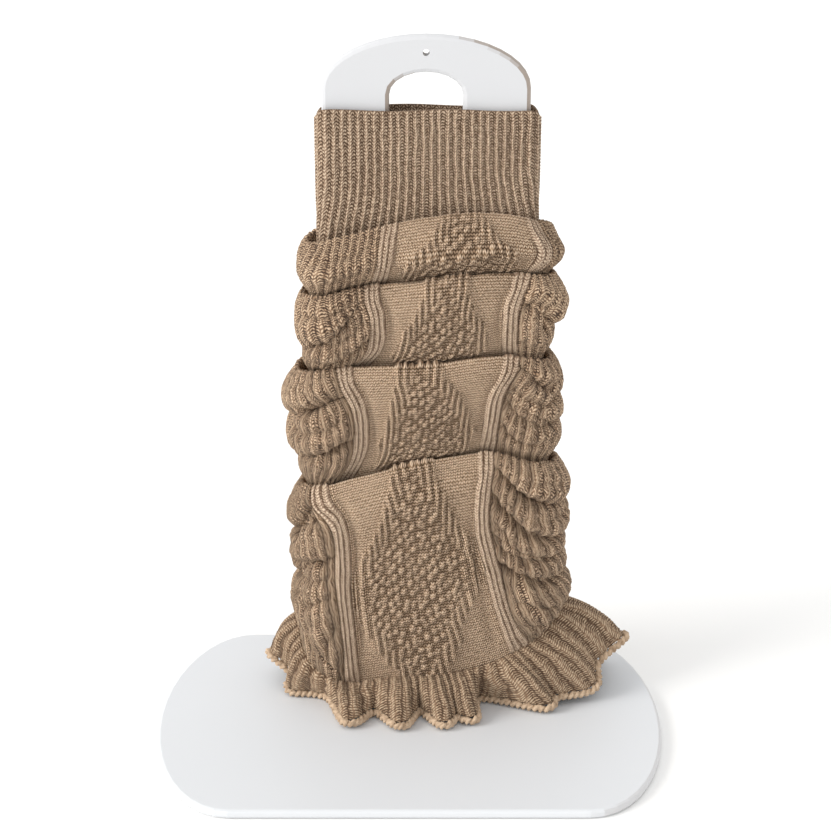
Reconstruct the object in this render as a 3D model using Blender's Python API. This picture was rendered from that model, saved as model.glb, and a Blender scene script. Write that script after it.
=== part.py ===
"""A ruffled knit leg warmer, pulled over an upright display board that stands on a flat base plate.

Sizes here are millimetres. The origin is the middle of the base plate's underside, +Z is up, and the
front of the board faces -Y. The cloth is one tube, wrapped on a flat core round the board. A place on
it is s, the distance round from the front middle to the right, and v, the row of PROFILE down the cloth.
"""

import math

import bmesh
import bpy
import numpy as np
from mathutils import Matrix

MM = 0.001
GAP = 0.3

# Stand
BASE_WIDTH = 290.0
BASE_DEPTH = 197.0
BASE_THICK = 5.0
BASE_END = 48.0
BASE_ROUNDING = 1.6
BOARD_X = 9.0
BOARD_Y = 37.0
BOARD_WIDTH = 110.8
BOARD_TOP = 393.0
BOARD_ARCH = 28.0
BOARD_THICK = 8.0
BOARD_ROUNDING = 2.2
SLOT_FLOOR = 1.5
HANDLE_WIDTH = 39.0
HANDLE_TOP = 373.5
HANDLE_ARCH = 12.0
HANDLE_FOOT = 345.0
HANDLE_CORNER = 6.0
HANG_HOLE = 3.7
HANG_HEIGHT = 384.0
ARC_STEPS = 10

# Cloth tube
TUBE_X = 9.9
FLAT = 52.0
CORE_RADIUS = 5.4
SPREAD = 12.0
ROUND = 4 * FLAT + 2 * math.pi * (CORE_RADIUS + SPREAD)
WALL = 2.0
SEAM = 0.7

# Cuff
CUFF_TOP = 354.0
CUFF_TUCK = 6.9
CUFF_DEPTH = 1.3
CUFF_WALL = 2.2
CUFF_RIBS = 58
CUFF_RIB_HEIGHT = 0.9
CUFF_INNER_SHARE = 2
CUFF_ROWS = (
    # share of the way down, how far the ribs stand out
    (0.0, 0.4),
    (0.02, 1.0),
    (0.75, 1.0),
    (1.0, 0.5),
)

# Bands and panels
BAND_WIDTH = 8.4
BAND_RAISED = 2.2
BAND_RIBS = (-1.2, 1.0, 0.0, 1.0, 0.0, 1.0, -1.2)
BAND_FADE = 1.2
BACK_PANEL_HALF = 42.0
BACK_WANDER = 3.5
BACK_WANDER_TURN = 0.55
BACK_LEFT_SHARE = 0.7
PANEL_SWELL = 2.2
SWELL_ROWS = 6
BAND_DIP = 1.6
DIP_SPREAD = 9.0
FRONT_COLUMNS = 12
BACK_COLUMNS = 8
SIDE_COLUMNS = 10
DIAMOND_RAISED = 1.5
SHOWN = 0.15

# Ruffle
RUFFLE_WALL = 2.0
RUFFLE_DROP = 2.3
SEAM_SOFTENING = (-8.0, -4.0, 0.0, 4.0, 8.0)
RUFFLE_BOW_OUT = 2.4
RUFFLE_BOW_UP = 3.2
RUFFLE_ROWS = (0.0, 0.22, 0.48, 0.75, 1.0)
COLUMNS_PER_WAVE = 6
RUFFLE_RIB_HEIGHT = 0.9
EDGE_RADIUS = 1.9
EDGE_ANGLES = (150, 90, 30)

# Heights of the four folded crests, at eight stations evenly spaced round the tube
CRESTS = {
    # line: front, front right, right, back right, back, back left, left, front left
    "roll": (297.0, 299.0, 289.5, 288.0, 291.0, 289.5, 280.5, 287.5),
    "second": (264.5, 267.5, 262.0, 258.0, 261.0, 258.0, 252.0, 258.5),
    "third": (216.5, 220.5, 213.5, 215.0, 213.0, 215.0, 207.0, 214.0),
    "fourth": (159.5, 163.0, 152.5, 150.0, 155.0, 147.0, 136.5, 149.0),
}

# The cloth's path from the cuff down to the ruffle's seam: a share of the way between two lines, a rise
# from there, the depth off the core, the middles of the two front bands, how far the gathers act, and how
# much nearer the core the cloth is drawn at the tube's two ends
PROFILE = (
    # place, upper line, lower line, share, rise, depth, left band, right band, gather, left in, right in
    ("roll start", "roll", "second", 0.00, -8.0, 1.5, -20.0, 50.0, 0.0, 0.0, 0.0),
    ("roll turn", "roll", "second", 0.00, -10.6, 3.6, -20.0, 51.0, 0.0, 0.0, 0.0),
    ("roll rise", "roll", "second", 0.00, -7.2, 5.9, -20.0, 53.5, 0.0, 0.0, 0.0),
    ("roll lip", "roll", "second", 0.00, 0.0, 8.0, -20.0, 57.0, 0.0, 0.0, 0.0),
    ("roll top", "roll", "second", 0.00, -5.5, 11.9, -21.0, 59.5, 0.3, 2.0, 2.0),
    ("roll shoulder", "roll", "second", 0.36, 0.0, 15.2, -22.0, 61.0, 0.8, 6.5, 5.5),
    ("roll belly", "roll", "second", 0.53, 0.0, 16.4, -23.0, 62.0, 1.0, 9.0, 5.0),
    ("roll under", "roll", "second", 0.72, 0.0, 14.8, -24.5, 60.5, 0.6, 8.0, 4.5),
    ("roll tuck", "roll", "second", 1.00, -1.0, 8.8, -27.0, 57.0, 0.0, 5.0, 4.0),
    ("roll foot", "second", "third", 0.00, -7.6, 7.4, -29.0, 54.0, 0.0, 5.5, 5.0),
    ("second turn", "second", "third", 0.00, -10.2, 9.8, -29.5, 53.0, 0.0, 5.5, 5.0),
    ("second rise", "second", "third", 0.00, -7.0, 12.2, -30.0, 52.0, 0.0, 5.5, 5.0),
    ("second lip", "second", "third", 0.00, 0.0, 14.4, -30.0, 51.0, 0.25, 5.5, 5.0),
    ("second face", "second", "third", 0.00, -7.0, 17.0, -29.5, 49.0, 0.7, 6.5, 5.5),
    ("second belly", "second", "third", 0.38, 0.0, 18.4, -27.0, 45.5, 1.0, 10.5, 6.5),
    ("second low", "second", "third", 0.72, 0.0, 16.6, -28.0, 45.0, 0.8, 10.0, 10.0),
    ("second tuck", "second", "third", 1.00, -0.5, 10.6, -36.0, 45.5, 0.0, 6.0, 7.5),
    ("second foot", "third", "fourth", 0.00, -8.4, 9.0, -41.0, 46.0, 0.0, 4.0, 7.0),
    ("third turn", "third", "fourth", 0.00, -11.0, 11.4, -43.0, 46.0, 0.0, 3.0, 7.0),
    ("third rise", "third", "fourth", 0.00, -7.8, 13.8, -45.0, 46.0, 0.0, 3.0, 7.0),
    ("third lip", "third", "fourth", 0.00, 0.0, 16.0, -45.5, 46.0, 0.25, 3.0, 7.0),
    ("third face", "third", "fourth", 0.00, -7.8, 18.6, -44.0, 44.5, 0.7, 2.5, 7.5),
    ("third belly", "third", "fourth", 0.36, 0.0, 19.8, -37.5, 38.0, 1.0, 3.5, 8.0),
    ("third low", "third", "fourth", 0.72, 0.0, 18.0, -37.0, 35.0, 0.8, 6.0, 5.0),
    ("third tuck", "third", "fourth", 1.00, -0.5, 12.0, -45.0, 33.5, 0.0, 5.0, 4.0),
    ("third foot", "fourth", "seam", 0.00, -9.8, 10.4, -52.0, 33.0, 0.0, 5.0, 4.0),
    ("fourth turn", "fourth", "seam", 0.00, -12.4, 12.8, -55.0, 33.0, 0.0, 5.0, 4.0),
    ("fourth rise", "fourth", "seam", 0.00, -9.2, 15.2, -58.0, 33.0, 0.0, 5.0, 4.0),
    ("fourth lip", "fourth", "seam", 0.00, 0.0, 17.4, -59.0, 33.0, 0.25, 5.0, 4.0),
    ("fourth face", "fourth", "seam", 0.00, -9.2, 20.0, -57.0, 33.0, 0.7, 5.5, 4.0),
    ("fourth shoulder", "fourth", "seam", 0.18, 0.0, 20.8, -50.0, 31.5, 1.0, 6.0, 4.0),
    ("fourth chest", "fourth", "seam", 0.33, 0.0, 21.2, -47.5, 31.5, 1.0, 6.0, 4.5),
    ("fourth belly", "fourth", "seam", 0.52, 0.0, 21.4, -47.5, 37.0, 1.0, 7.5, 5.0),
    ("fourth waist", "fourth", "seam", 0.72, 0.0, 21.0, -45.5, 43.0, 1.0, 6.5, 3.0),
    ("fourth low", "fourth", "seam", 0.88, 0.0, 20.0, -44.0, 49.0, 1.0, 5.5, 0.5),
    ("seam", "fourth", "seam", 1.00, 0.0, 18.0, -43.0, 53.0, 0.2, 4.0, 0.0),
)
SIDE_EXTRA_ROWS = {
    "roll shoulder": 1,
    "roll belly": 1,
    "second face": 2,
    "second belly": 2,
    "third face": 3,
    "third belly": 3,
    "third low": 1,
    "fourth face": 1,
    "fourth shoulder": 2,
    "fourth chest": 3,
    "fourth belly": 3,
    "fourth waist": 2,
    "fourth low": 1,
}

# Gathers of the side panels, top to bottom: each row is a puffed lobe, with the heights of the groove
# below it beside the front band, at the middle of the side and beside the back band
GATHERS = {
    "left": (
        # lobe, front, middle, back, puff
        ("roll", 262.0, 252.0, 257.0, 5.0),
        ("second upper", 256.0, 223.0, 236.0, 7.0),
        ("second lower", 233.0, 206.0, 217.0, 7.0),
        ("third upper", 200.0, 183.0, 196.0, 9.0),
        ("third lower", 174.0, 157.0, 170.0, 8.0),
        ("third foot", 150.0, 139.0, 148.0, 6.0),
        ("fourth top", 133.0, 108.0, 125.0, 9.0),
        ("fourth upper", 104.0, 81.0, 99.0, 7.0),
        ("fourth hanging", 20.0, 58.0, 38.0, 7.0),
    ),
    "right": (
        # lobe, front, middle, back, puff
        ("roll", 270.0, 265.0, 262.0, 6.0),
        ("second upper", 255.0, 233.0, 240.0, 9.0),
        ("second lower", 224.0, 217.0, 219.0, 5.0),
        ("third top", 219.0, 194.0, 201.0, 8.0),
        ("third sausage", 205.0, 179.0, 186.0, 6.0),
        ("third lower", 168.0, 156.0, 152.0, 6.0),
        ("fourth top", 160.0, 130.0, 136.0, 9.0),
        ("fourth upper", 146.0, 109.0, 118.0, 8.0),
        ("fourth middle", 119.0, 97.0, 99.0, 5.0),
        ("fourth low", 100.0, 85.0, 78.0, 5.0),
        ("fourth foot", 40.0, 64.0, 44.0, 8.0),
    ),
}
GATHER_SINK = 0.45
GATHER_DROOP = 1.35
GATHER_EDGE = 0.17

# Raised diamonds of the front and back panels, as a share of the panel's width at each place
DIAMONDS = (
    # place, middle, half width
    ("roll shoulder", 0.50, 0.18),
    ("roll belly", 0.50, 0.30),
    ("roll under", 0.50, 0.38),
    ("second lip", 0.50, 0.10),
    ("second face", 0.50, 0.12),
    ("second belly", 0.50, 0.24),
    ("second low", 0.50, 0.36),
    ("third lip", 0.44, 0.10),
    ("third face", 0.45, 0.12),
    ("third belly", 0.49, 0.26),
    ("third low", 0.51, 0.40),
    ("fourth lip", 0.56, 0.08),
    ("fourth face", 0.55, 0.10),
    ("fourth shoulder", 0.54, 0.22),
    ("fourth chest", 0.53, 0.36),
    ("fourth belly", 0.50, 0.44),
    ("fourth waist", 0.43, 0.32),
    ("fourth low", 0.43, 0.18),
    ("seam", 0.43, 0.08),
)
DIAMOND_SOFT = 0.05

# Ruffle waves round the hem: where each starts on the seam, the seam's height there, the wave's outermost
# point from the tube's middle and its height, and how far the trough after it folds back in
WAVES = (
    # wave, seam place, seam height, hem x, hem y, hem height, fold
    ("front middle left", -15.0, 25.0, -15.0, -53.0, 9.8, 17.0),
    ("front middle", 4.0, 26.0, 9.0, -52.0, 9.8, 6.0),
    ("front middle right", 20.0, 28.0, 27.0, -46.0, 10.0, 24.0),
    ("front right", 44.0, 35.0, 68.0, -34.0, 10.6, 8.0),
    ("right front", 60.0, 46.0, 97.0, -20.0, 15.0, 7.0),
    ("right tip", 79.0, 66.0, 116.0, 2.0, 37.0, 10.0),
    ("right back", 96.0, 56.0, 105.0, 26.0, 15.0, 10.0),
    ("back right", 114.0, 40.0, 80.0, 42.0, 10.0, 12.0),
    ("back middle right", 131.0, 31.0, 50.0, 48.0, 9.8, 14.0),
    ("back middle", 148.0, 28.0, 20.0, 49.0, 9.8, 13.0),
    ("back middle left", 166.0, 27.0, -11.0, 46.0, 9.8, 15.0),
    ("back left", 185.0, 30.0, -42.0, 48.0, 9.8, 12.0),
    ("left back", 203.0, 38.0, -70.0, 36.0, 10.0, 11.0),
    ("left rear tip", 220.0, 52.0, -87.0, 18.0, 18.0, 9.0),
    ("left tip", 236.0, 54.0, -92.0, 1.0, 27.0, 6.0),
    ("left foot", 250.0, 30.0, -80.0, -14.0, 10.2, 12.0),
    ("front left", 270.0, 17.0, -45.0, -50.0, 9.8, 15.0),
)

PLACES = [row[0] for row in PROFILE]
LAST_ROW = len(PROFILE) - 1


def blend_four(a, b, c, d, t):
    """Smooth curve from b to c, through all four values."""
    return 0.5 * (2 * b + (c - a) * t + (2 * a - 5 * b + 4 * c - d) * t**2 + (3 * b - 3 * c + d - a) * t**3)


def core_line(s):
    """Points on the flat core, s mm round from the front middle, and the directions that point away from it."""
    s = (np.asarray(s, float) + ROUND / 2) % ROUND - ROUND / 2
    turn_radius = CORE_RADIUS + SPREAD
    way = np.abs(s)
    turn = np.clip((way - FLAT) / turn_radius, 0, math.pi)
    run = np.where(way < FLAT, way, np.where(turn < math.pi, FLAT, 2 * FLAT + math.pi * turn_radius - way))
    away_x = np.sign(s) * np.sin(turn)
    away_y = -np.cos(turn)
    return np.sign(s) * run + CORE_RADIUS * away_x, CORE_RADIUS * away_y, away_x, away_y


def line_height(line, s):
    """Height of a crest line, or of the ruffle's seam, s mm round the tube."""
    if line == "seam":
        near = [np.asarray(s, float) + shift for shift in SEAM_SOFTENING]
        return np.interp(near, [row[1] for row in WAVES], [row[2] for row in WAVES], period=ROUND).mean(axis=0)
    heights = CRESTS[line]
    place = np.asarray(s, float) / (ROUND / len(heights))
    station = np.floor(place).astype(int)
    near = [np.take(heights, station + k, mode="wrap") for k in (-1, 0, 1, 2)]
    return blend_four(*near, place - station)


def row_value(column, v):
    """Value of a PROFILE column at row v."""
    return float(np.interp(v, range(len(PROFILE)), [row[column] for row in PROFILE]))


def band_places(v):
    """Middles of the four bands at row v, rightwards round the tube from the front left one."""
    wander = BACK_WANDER * math.sin(BACK_WANDER_TURN * v)
    half = ROUND / 2
    return {
        "front_left": row_value(6, v),
        "front_right": row_value(7, v),
        "back_right": half - BACK_PANEL_HALF + wander,
        "back_left": half + BACK_PANEL_HALF + BACK_LEFT_SHARE * wander,
    }


def cross_shape(s, v):
    """The panels swell between the bands, and the tube dips along the bands."""
    bands = list(band_places(v).values())
    ends = bands + [bands[0] + ROUND]
    s = (np.asarray(s, float) - ends[0]) % ROUND + ends[0]
    swell = np.zeros_like(s)
    for start, end in zip(ends, ends[1:]):
        share = np.clip((s - start) / (end - start), 0, 1)
        swell += PANEL_SWELL * np.sin(math.pi * share) ** 2
        swell -= BAND_DIP * np.exp(-(((s - start) / DIP_SPREAD) ** 2))
        swell -= BAND_DIP * np.exp(-(((s - end) / DIP_SPREAD) ** 2)) if end == ends[-1] else 0
    return swell * min(v / SWELL_ROWS, 1.0)


def tube_middle(s, v):
    """Middle of the cloth's wall at s and v, before the gathers."""
    first = min(int(v), LAST_ROW - 1)
    x, y, away_x, away_y = core_line(s)
    depths = []
    heights = []
    for k in (-1, 0, 1, 2):
        row = PROFILE[min(max(first + k, 0), LAST_ROW)]
        _, upper, lower, share, rise, depth, _, _, _, left_in, right_in = row
        top = line_height(upper, s)
        depths.append(depth - np.where(away_x < 0, left_in, right_in) * away_x**2)
        heights.append(top + (line_height(lower, s) - top) * share + rise)
    depth = blend_four(*depths, v - first) + cross_shape(s, v)
    return np.stack([x + away_x * depth, y + away_y * depth, blend_four(*heights, v - first)], -1)


def gather_height(side, s, v, height):
    """How far the gathered lobes of a side panel stand out at height, and sink in at the grooves."""
    bands = band_places(v)
    front, back = bands["front_right"], bands["back_right"]
    if side == "left":
        front, back = bands["front_left"] + ROUND, bands["back_left"]
    across = np.clip((s - front) / (back - front), 0, 1)
    edge = np.clip(np.minimum(across, 1 - across) / GATHER_EDGE, 0, 1)
    edge = edge * edge * (3 - 2 * edge)
    sag = np.sin(math.pi * across) ** 2
    puffed = np.zeros_like(height)
    above = np.full_like(height, CRESTS["roll"][0])
    for _, front_z, middle_z, back_z, puff in GATHERS[side]:
        below = (front_z + (back_z - front_z) * across) * (1 - sag) + middle_z * sag
        share = (above - height) / np.maximum(above - below, 1.0)
        inside = (share > 0) & (share <= 1)
        lobe = np.sqrt(np.clip(1 - (2 * np.clip(share, 0, 1) ** GATHER_DROOP - 1) ** 2, 0, 1))
        puffed = np.where(inside, puff * (lobe - GATHER_SINK), puffed)
        above = below
    return puffed * edge * row_value(8, v)


def unit(vectors):
    """Vectors cut to length 1; a zero vector stays zero."""
    return vectors / np.maximum(np.linalg.norm(vectors, axis=-1, keepdims=True), 1e-9)


def tube_wall(s, rows, wall=WALL, raised=None, side=None):
    """Outer and inner points of the wall at the places s, one line of them for each row."""
    outer = []
    inner = []
    for k, v in enumerate(rows):
        line = s[k]
        middle = tube_middle(line, v)
        round_way = tube_middle(line + 1, v) - tube_middle(line - 1, v)
        before = middle - tube_middle(line, rows[max(k - 1, 0)])
        after = tube_middle(line, rows[min(k + 1, len(rows) - 1)]) - middle
        normal = unit(np.cross(unit(before) + unit(after), round_way))
        if side:
            middle = middle + normal * gather_height(side, line, v, middle[:, 2])[:, None]
        lift = np.zeros(len(line)) if raised is None else raised[k]
        outer.append(middle + normal * (wall / 2 + lift)[:, None])
        inner.append(middle - normal * wall / 2)
    return np.array(outer), np.array(inner)


def on_tube(points):
    """Points of the cloth moved from the tube's own middle to its place over the board."""
    return points + np.array([TUBE_X, BOARD_Y, 0.0])


def add_object(name, mesh, colour, roughness, collection):
    """Object with a plain finish, linked to a collection."""
    material = bpy.data.materials.new(name)
    material.use_nodes = True
    shader = material.node_tree.nodes["Principled BSDF"]
    shader.inputs["Base Color"].default_value = (*colour, 1.0)
    shader.inputs["Roughness"].default_value = roughness
    mesh.materials.append(material)
    thing = bpy.data.objects.new(name, mesh)
    collection.objects.link(thing)
    return thing


def wall_mesh(name, outer, inner, ring):
    """Closed wall between two grids of points; the inner grid may have fewer columns than the outer."""
    body = bmesh.new()
    grids = []
    for grid in (outer, inner):
        grids.append([[body.verts.new(point * MM) for point in line] for line in on_tube(grid)])
    spans = []
    for grid in grids:
        columns = len(grid[0])
        if ring:
            spans.append([(c, (c + 1) % columns) for c in range(columns)])
        else:
            spans.append([(c, c + 1) for c in range(columns - 1)])
        for upper, lower in zip(grid, grid[1:]):
            for left, right in spans[-1]:
                body.faces.new((upper[left], upper[right], lower[right], lower[left]))
    outside, inside = grids
    per_inner = len(spans[0]) // len(spans[1])
    for row in (0, -1):
        for k, (left, right) in enumerate(spans[1]):
            for j in range(per_inner):
                a, b = spans[0][k * per_inner + j]
                body.faces.new((outside[row][a], outside[row][b], inside[row][left]))
            body.faces.new((outside[row][spans[0][(k + 1) * per_inner - 1][1]], inside[row][right], inside[row][left]))
    if not ring:
        for column in (0, -1):
            for k in range(len(outside) - 1):
                body.faces.new(
                    (outside[k][column], outside[k + 1][column], inside[k + 1][column], inside[k][column])
                )
    bmesh.ops.recalc_face_normals(body, faces=body.faces)
    mesh = bpy.data.meshes.new(name)
    body.to_mesh(mesh)
    body.free()
    mesh.shade_smooth()
    mesh.set_sharp_from_angle(angle=math.radians(50))
    return mesh


def panel_places(left, right, rows, columns):
    """Places s across a panel from its left seam to its right seam, for each row."""
    return np.array([np.linspace(left(v), right(v), columns + 1) for v in rows])


def diamond_relief(s):
    """The raised diamonds: one flat step, with soft edges, over a panel's grid of places."""
    rows = [PLACES.index(place) for place, _, _ in DIAMONDS]
    relief = []
    for v, line in enumerate(s):
        middle = np.interp(v, rows, [row[1] for row in DIAMONDS])
        half = np.interp(v, rows, [row[2] for row in DIAMONDS])
        across = (line - line[0]) / (line[-1] - line[0])
        inside = np.clip((half - np.abs(across - middle)) / DIAMOND_SOFT, 0, 1)
        relief.append(DIAMOND_RAISED * inside * (PROFILE[v][8] > SHOWN))
    return np.array(relief)


def make_panel(name, left, right, columns, collection, colour):
    """Front or back panel, with the raised diamonds on its outside."""
    rows = range(len(PROFILE))
    s = panel_places(left, right, rows, columns)
    outer, _ = tube_wall(s, rows, raised=diamond_relief(s))
    _, inner = tube_wall(s[:, ::2], rows)
    add_object(name, wall_mesh(name, outer, inner, False), colour, 0.9, collection)


def make_side(name, side, left, right, collection, colour):
    """Gathered side panel, which has more rows than the others."""
    rows = []
    for v, place in enumerate(PLACES):
        extra = SIDE_EXTRA_ROWS.get(place, 0)
        rows += [v + k / (extra + 1) for k in range(extra + 1)]
    s = panel_places(left, right, rows, SIDE_COLUMNS)
    outer, inner = tube_wall(s, rows, side=side)
    add_object(name, wall_mesh(name, outer, inner, False), colour, 0.9, collection)


def make_band(name, middle, collection, colour):
    """Raised band of three ribs, over a plain inside."""
    rows = range(len(PROFILE))
    half = BAND_WIDTH / 2
    spans = len(BAND_RIBS) - 1
    s = panel_places(lambda v: middle(v) - half, lambda v: middle(v) + half, rows, spans)
    ribs = BAND_RAISED + np.array(BAND_RIBS)
    shown = np.array([min(BAND_FADE * row[8], 1.0) for row in PROFILE])
    outer, _ = tube_wall(s, rows, raised=shown[:, None] * ribs)
    _, inner = tube_wall(s[:, ::spans], rows)
    add_object(name, wall_mesh(name, outer, inner, False), colour, 0.9, collection)


def make_cuff(collection, colour):
    """Ribbed cuff, whose lower edge is tucked behind the roll."""
    columns = 2 * CUFF_RIBS
    fine = np.linspace(0, ROUND, 40 * columns + 1)
    x, y, away_x, away_y = core_line(fine)
    steps = np.hypot(np.diff(x + away_x * CUFF_DEPTH), np.diff(y + away_y * CUFF_DEPTH))
    length = np.concatenate([[0], np.cumsum(steps)])
    s = np.interp(np.arange(columns) / columns * length[-1], length, fine)
    x, y, away_x, away_y = core_line(s)
    ribs = CUFF_RIB_HEIGHT * (np.arange(columns) % 2 == 0)
    foot = line_height("roll", s) - CUFF_TUCK
    outer = []
    inner = []
    for share, shown in CUFF_ROWS:
        height = CUFF_TOP + (foot - CUFF_TOP) * share
        for points, depth in ((outer, CUFF_DEPTH + CUFF_WALL / 2 + ribs * shown), (inner, CUFF_DEPTH - CUFF_WALL / 2)):
            points.append(np.stack([x + away_x * depth, y + away_y * depth, height], -1))
    inner = np.array(inner)[:, ::CUFF_INNER_SHARE]
    add_object("cuff", wall_mesh("cuff", np.array(outer), inner, True), colour, 0.9, collection)


def ruffle_rings():
    """Places round the seam, and the hem's points that go with them, through every wave and trough."""
    count = len(WAVES)
    peaks = np.array([row[3:6] for row in WAVES])
    starts = np.array([row[1] for row in WAVES] + [WAVES[0][1] + ROUND])
    knots = []
    for k, row in enumerate(WAVES):
        between = (peaks[k] + peaks[(k + 1) % count]) / 2
        x, y, away_x, away_y = core_line((starts[k] + starts[k + 1]) / 2)
        home = np.array([x + away_x * PROFILE[-1][5], y + away_y * PROFILE[-1][5], between[2]])
        knots += [peaks[k], between + unit(home - between) * row[6]]
    knots = np.array(knots)
    places = []
    hem = []
    for k in range(2 * count):
        near = [knots[(k + j) % (2 * count)] for j in (-1, 0, 1, 2)]
        wave = k // 2
        for step in range(COLUMNS_PER_WAVE // 2):
            t = 2 * step / COLUMNS_PER_WAVE
            hem.append(blend_four(*near, t))
            share = (k % 2 + t) / 2
            places.append(starts[wave] + (starts[wave + 1] - starts[wave]) * share)
    return np.array(places), np.array(hem)


def ruffle_middle():
    """Middle points of the ruffle's wall, in rows from the seam down to the hem."""
    places, hem = ruffle_rings()
    along = unit(tube_middle(places + 1, LAST_ROW) - tube_middle(places - 1, LAST_ROW))
    down = np.array([0.0, 0.0, -1.0])
    seam = tube_middle(places, LAST_ROW) + RUFFLE_DROP * unit(down - along * (along @ down)[:, None])
    _, _, away_x, away_y = core_line(places)
    lift = np.full_like(away_x, RUFFLE_BOW_UP)
    bow = np.stack([RUFFLE_BOW_OUT * away_x, RUFFLE_BOW_OUT * away_y, lift], -1)
    return np.array([seam + (hem - seam) * w + bow * math.sin(math.pi * w) for w in RUFFLE_ROWS])


def make_ruffle(collection, colour, edge_colour):
    """Waved ruffle with raised ribs, and the rolled cord along its hem."""
    middle = ruffle_middle()
    round_way = np.roll(middle, -1, axis=1) - np.roll(middle, 1, axis=1)
    down_way = np.gradient(middle, axis=0)
    normal = unit(np.cross(down_way, round_way))
    ribs = RUFFLE_RIB_HEIGHT * (np.arange(middle.shape[1]) % 2 == 0)
    shown = np.clip(np.array(RUFFLE_ROWS) / RUFFLE_ROWS[1], 0, 1)
    outer = middle + normal * (RUFFLE_WALL / 2 + shown[:, None] * ribs)[:, :, None]
    inner = middle - normal * RUFFLE_WALL / 2
    add_object("ruffle", wall_mesh("ruffle", outer, inner, True), colour, 0.9, collection)

    along = unit(round_way[-1])
    onward = middle[-1] - middle[-2]
    onward = unit(onward - along * (onward * along).sum(axis=1)[:, None])
    centre = middle[-1] + onward * (EDGE_RADIUS + GAP)
    across = np.cross(onward, along)
    sides = []
    for turns in (EDGE_ANGLES, [-turn for turn in EDGE_ANGLES]):
        angles = np.radians(turns)[:, None, None]
        sides.append(centre + (onward * np.cos(angles) + across * np.sin(angles)) * EDGE_RADIUS)
    add_object("ruffle_edge", wall_mesh("ruffle_edge", *sides, True), edge_colour, 0.9, collection)


def arc(middle, radii, start, end, steps):
    """Points on an elliptical arc, its angles in degrees."""
    angles = np.radians(np.linspace(start, end, steps + 1))
    return [(middle[0] + radii[0] * math.cos(a), middle[1] + radii[1] * math.sin(a)) for a in angles]


def flat_outline(name, outlines, thickness, rounding):
    """Flat board with rounded rims from closed outlines, the later ones holes, its caps welded on."""
    curve = bpy.data.curves.new(name, "CURVE")
    curve.dimensions = "2D"
    curve.fill_mode = "BOTH"
    curve.extrude = (thickness / 2 - rounding) * MM
    curve.bevel_depth = rounding * MM
    curve.bevel_resolution = 1
    curve.offset = -rounding * MM
    for outline in outlines:
        spline = curve.splines.new("POLY")
        spline.points.add(len(outline) - 1)
        for point, (across, up) in zip(spline.points, outline):
            point.co = (across * MM, up * MM, 0.0, 1.0)
        spline.use_cyclic_u = True
    guide = bpy.data.objects.new(name + "_guide", curve)
    bpy.context.scene.collection.objects.link(guide)
    bpy.context.view_layer.update()
    mesh = bpy.data.meshes.new_from_object(guide.evaluated_get(bpy.context.evaluated_depsgraph_get()))
    bpy.data.objects.remove(guide)
    body = bmesh.new()
    body.from_mesh(mesh)
    bmesh.ops.remove_doubles(body, verts=body.verts, dist=0.00001)
    bmesh.ops.recalc_face_normals(body, faces=body.faces)
    body.to_mesh(mesh)
    body.free()
    mesh.materials.clear()
    return mesh


def cut(thing, body, name, place, cutters):
    """Takes the shape in a bmesh, moved to its place, out of a board."""
    mesh = bpy.data.meshes.new(name)
    body.to_mesh(mesh)
    body.free()
    cutter = bpy.data.objects.new(name, mesh)
    cutter.location = [size * MM for size in place]
    cutter.hide_render = True
    cutter.display_type = "WIRE"
    cutters.objects.link(cutter)
    hole = thing.modifiers.new(name, "BOOLEAN")
    hole.operation = "DIFFERENCE"
    hole.object = cutter


def make_base(collection, cutters, colour):
    """Base plate with elliptical ends and a blind slot for the board's foot."""
    straight = BASE_WIDTH / 2 - BASE_END
    radii = (BASE_END, BASE_DEPTH / 2)
    outline = arc((straight, 0), radii, -90, 90, 2 * ARC_STEPS)
    outline += arc((-straight, 0), radii, 90, 270, 2 * ARC_STEPS)
    mesh = flat_outline("stand_base", [outline], BASE_THICK, BASE_ROUNDING)
    base = add_object("stand_base", mesh, colour, 0.45, collection)
    base.location.z = BASE_THICK / 2 * MM
    body = bmesh.new()
    bmesh.ops.create_cube(body, size=1.0)
    slot_size = (BOARD_WIDTH + 2 * GAP, BOARD_THICK + 2 * GAP, BASE_THICK)
    bmesh.ops.scale(body, vec=[size * MM for size in slot_size], verts=body.verts)
    cut(base, body, "slot", (BOARD_X, BOARD_Y, SLOT_FLOOR + BASE_THICK / 2), cutters)


def make_board(collection, cutters, colour):
    """Upright board with an arched top, a handle hole, a hanging hole and its foot in the base's slot."""
    half = BOARD_WIDTH / 2
    foot = SLOT_FLOOR + GAP
    outline = [(-half, foot), (half, foot)]
    outline += arc((0, BOARD_TOP - BOARD_ARCH), (half, BOARD_ARCH), 0, 180, 2 * ARC_STEPS)
    grip = HANDLE_WIDTH / 2
    corner = (HANDLE_CORNER, HANDLE_CORNER)
    handle = arc((0, HANDLE_TOP - HANDLE_ARCH), (grip, HANDLE_ARCH), 0, 180, ARC_STEPS)
    handle += arc((HANDLE_CORNER - grip, HANDLE_FOOT + HANDLE_CORNER), corner, 180, 270, 3)
    handle += arc((grip - HANDLE_CORNER, HANDLE_FOOT + HANDLE_CORNER), corner, 270, 360, 3)
    mesh = flat_outline("stand_board", [outline, handle], BOARD_THICK, BOARD_ROUNDING)
    board = add_object("stand_board", mesh, colour, 0.45, collection)
    board.location = (BOARD_X * MM, BOARD_Y * MM, 0.0)
    board.rotation_euler.x = math.pi / 2
    body = bmesh.new()
    radius = HANG_HOLE / 2 * MM
    depth = 2 * BOARD_THICK * MM
    bmesh.ops.create_cone(body, cap_ends=True, segments=12, radius1=radius, radius2=radius, depth=depth)
    bmesh.ops.rotate(body, verts=body.verts, matrix=Matrix.Rotation(math.pi / 2, 3, "X"))
    cut(board, body, "hanging_hole", (BOARD_X, BOARD_Y, HANG_HEIGHT), cutters)


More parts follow.
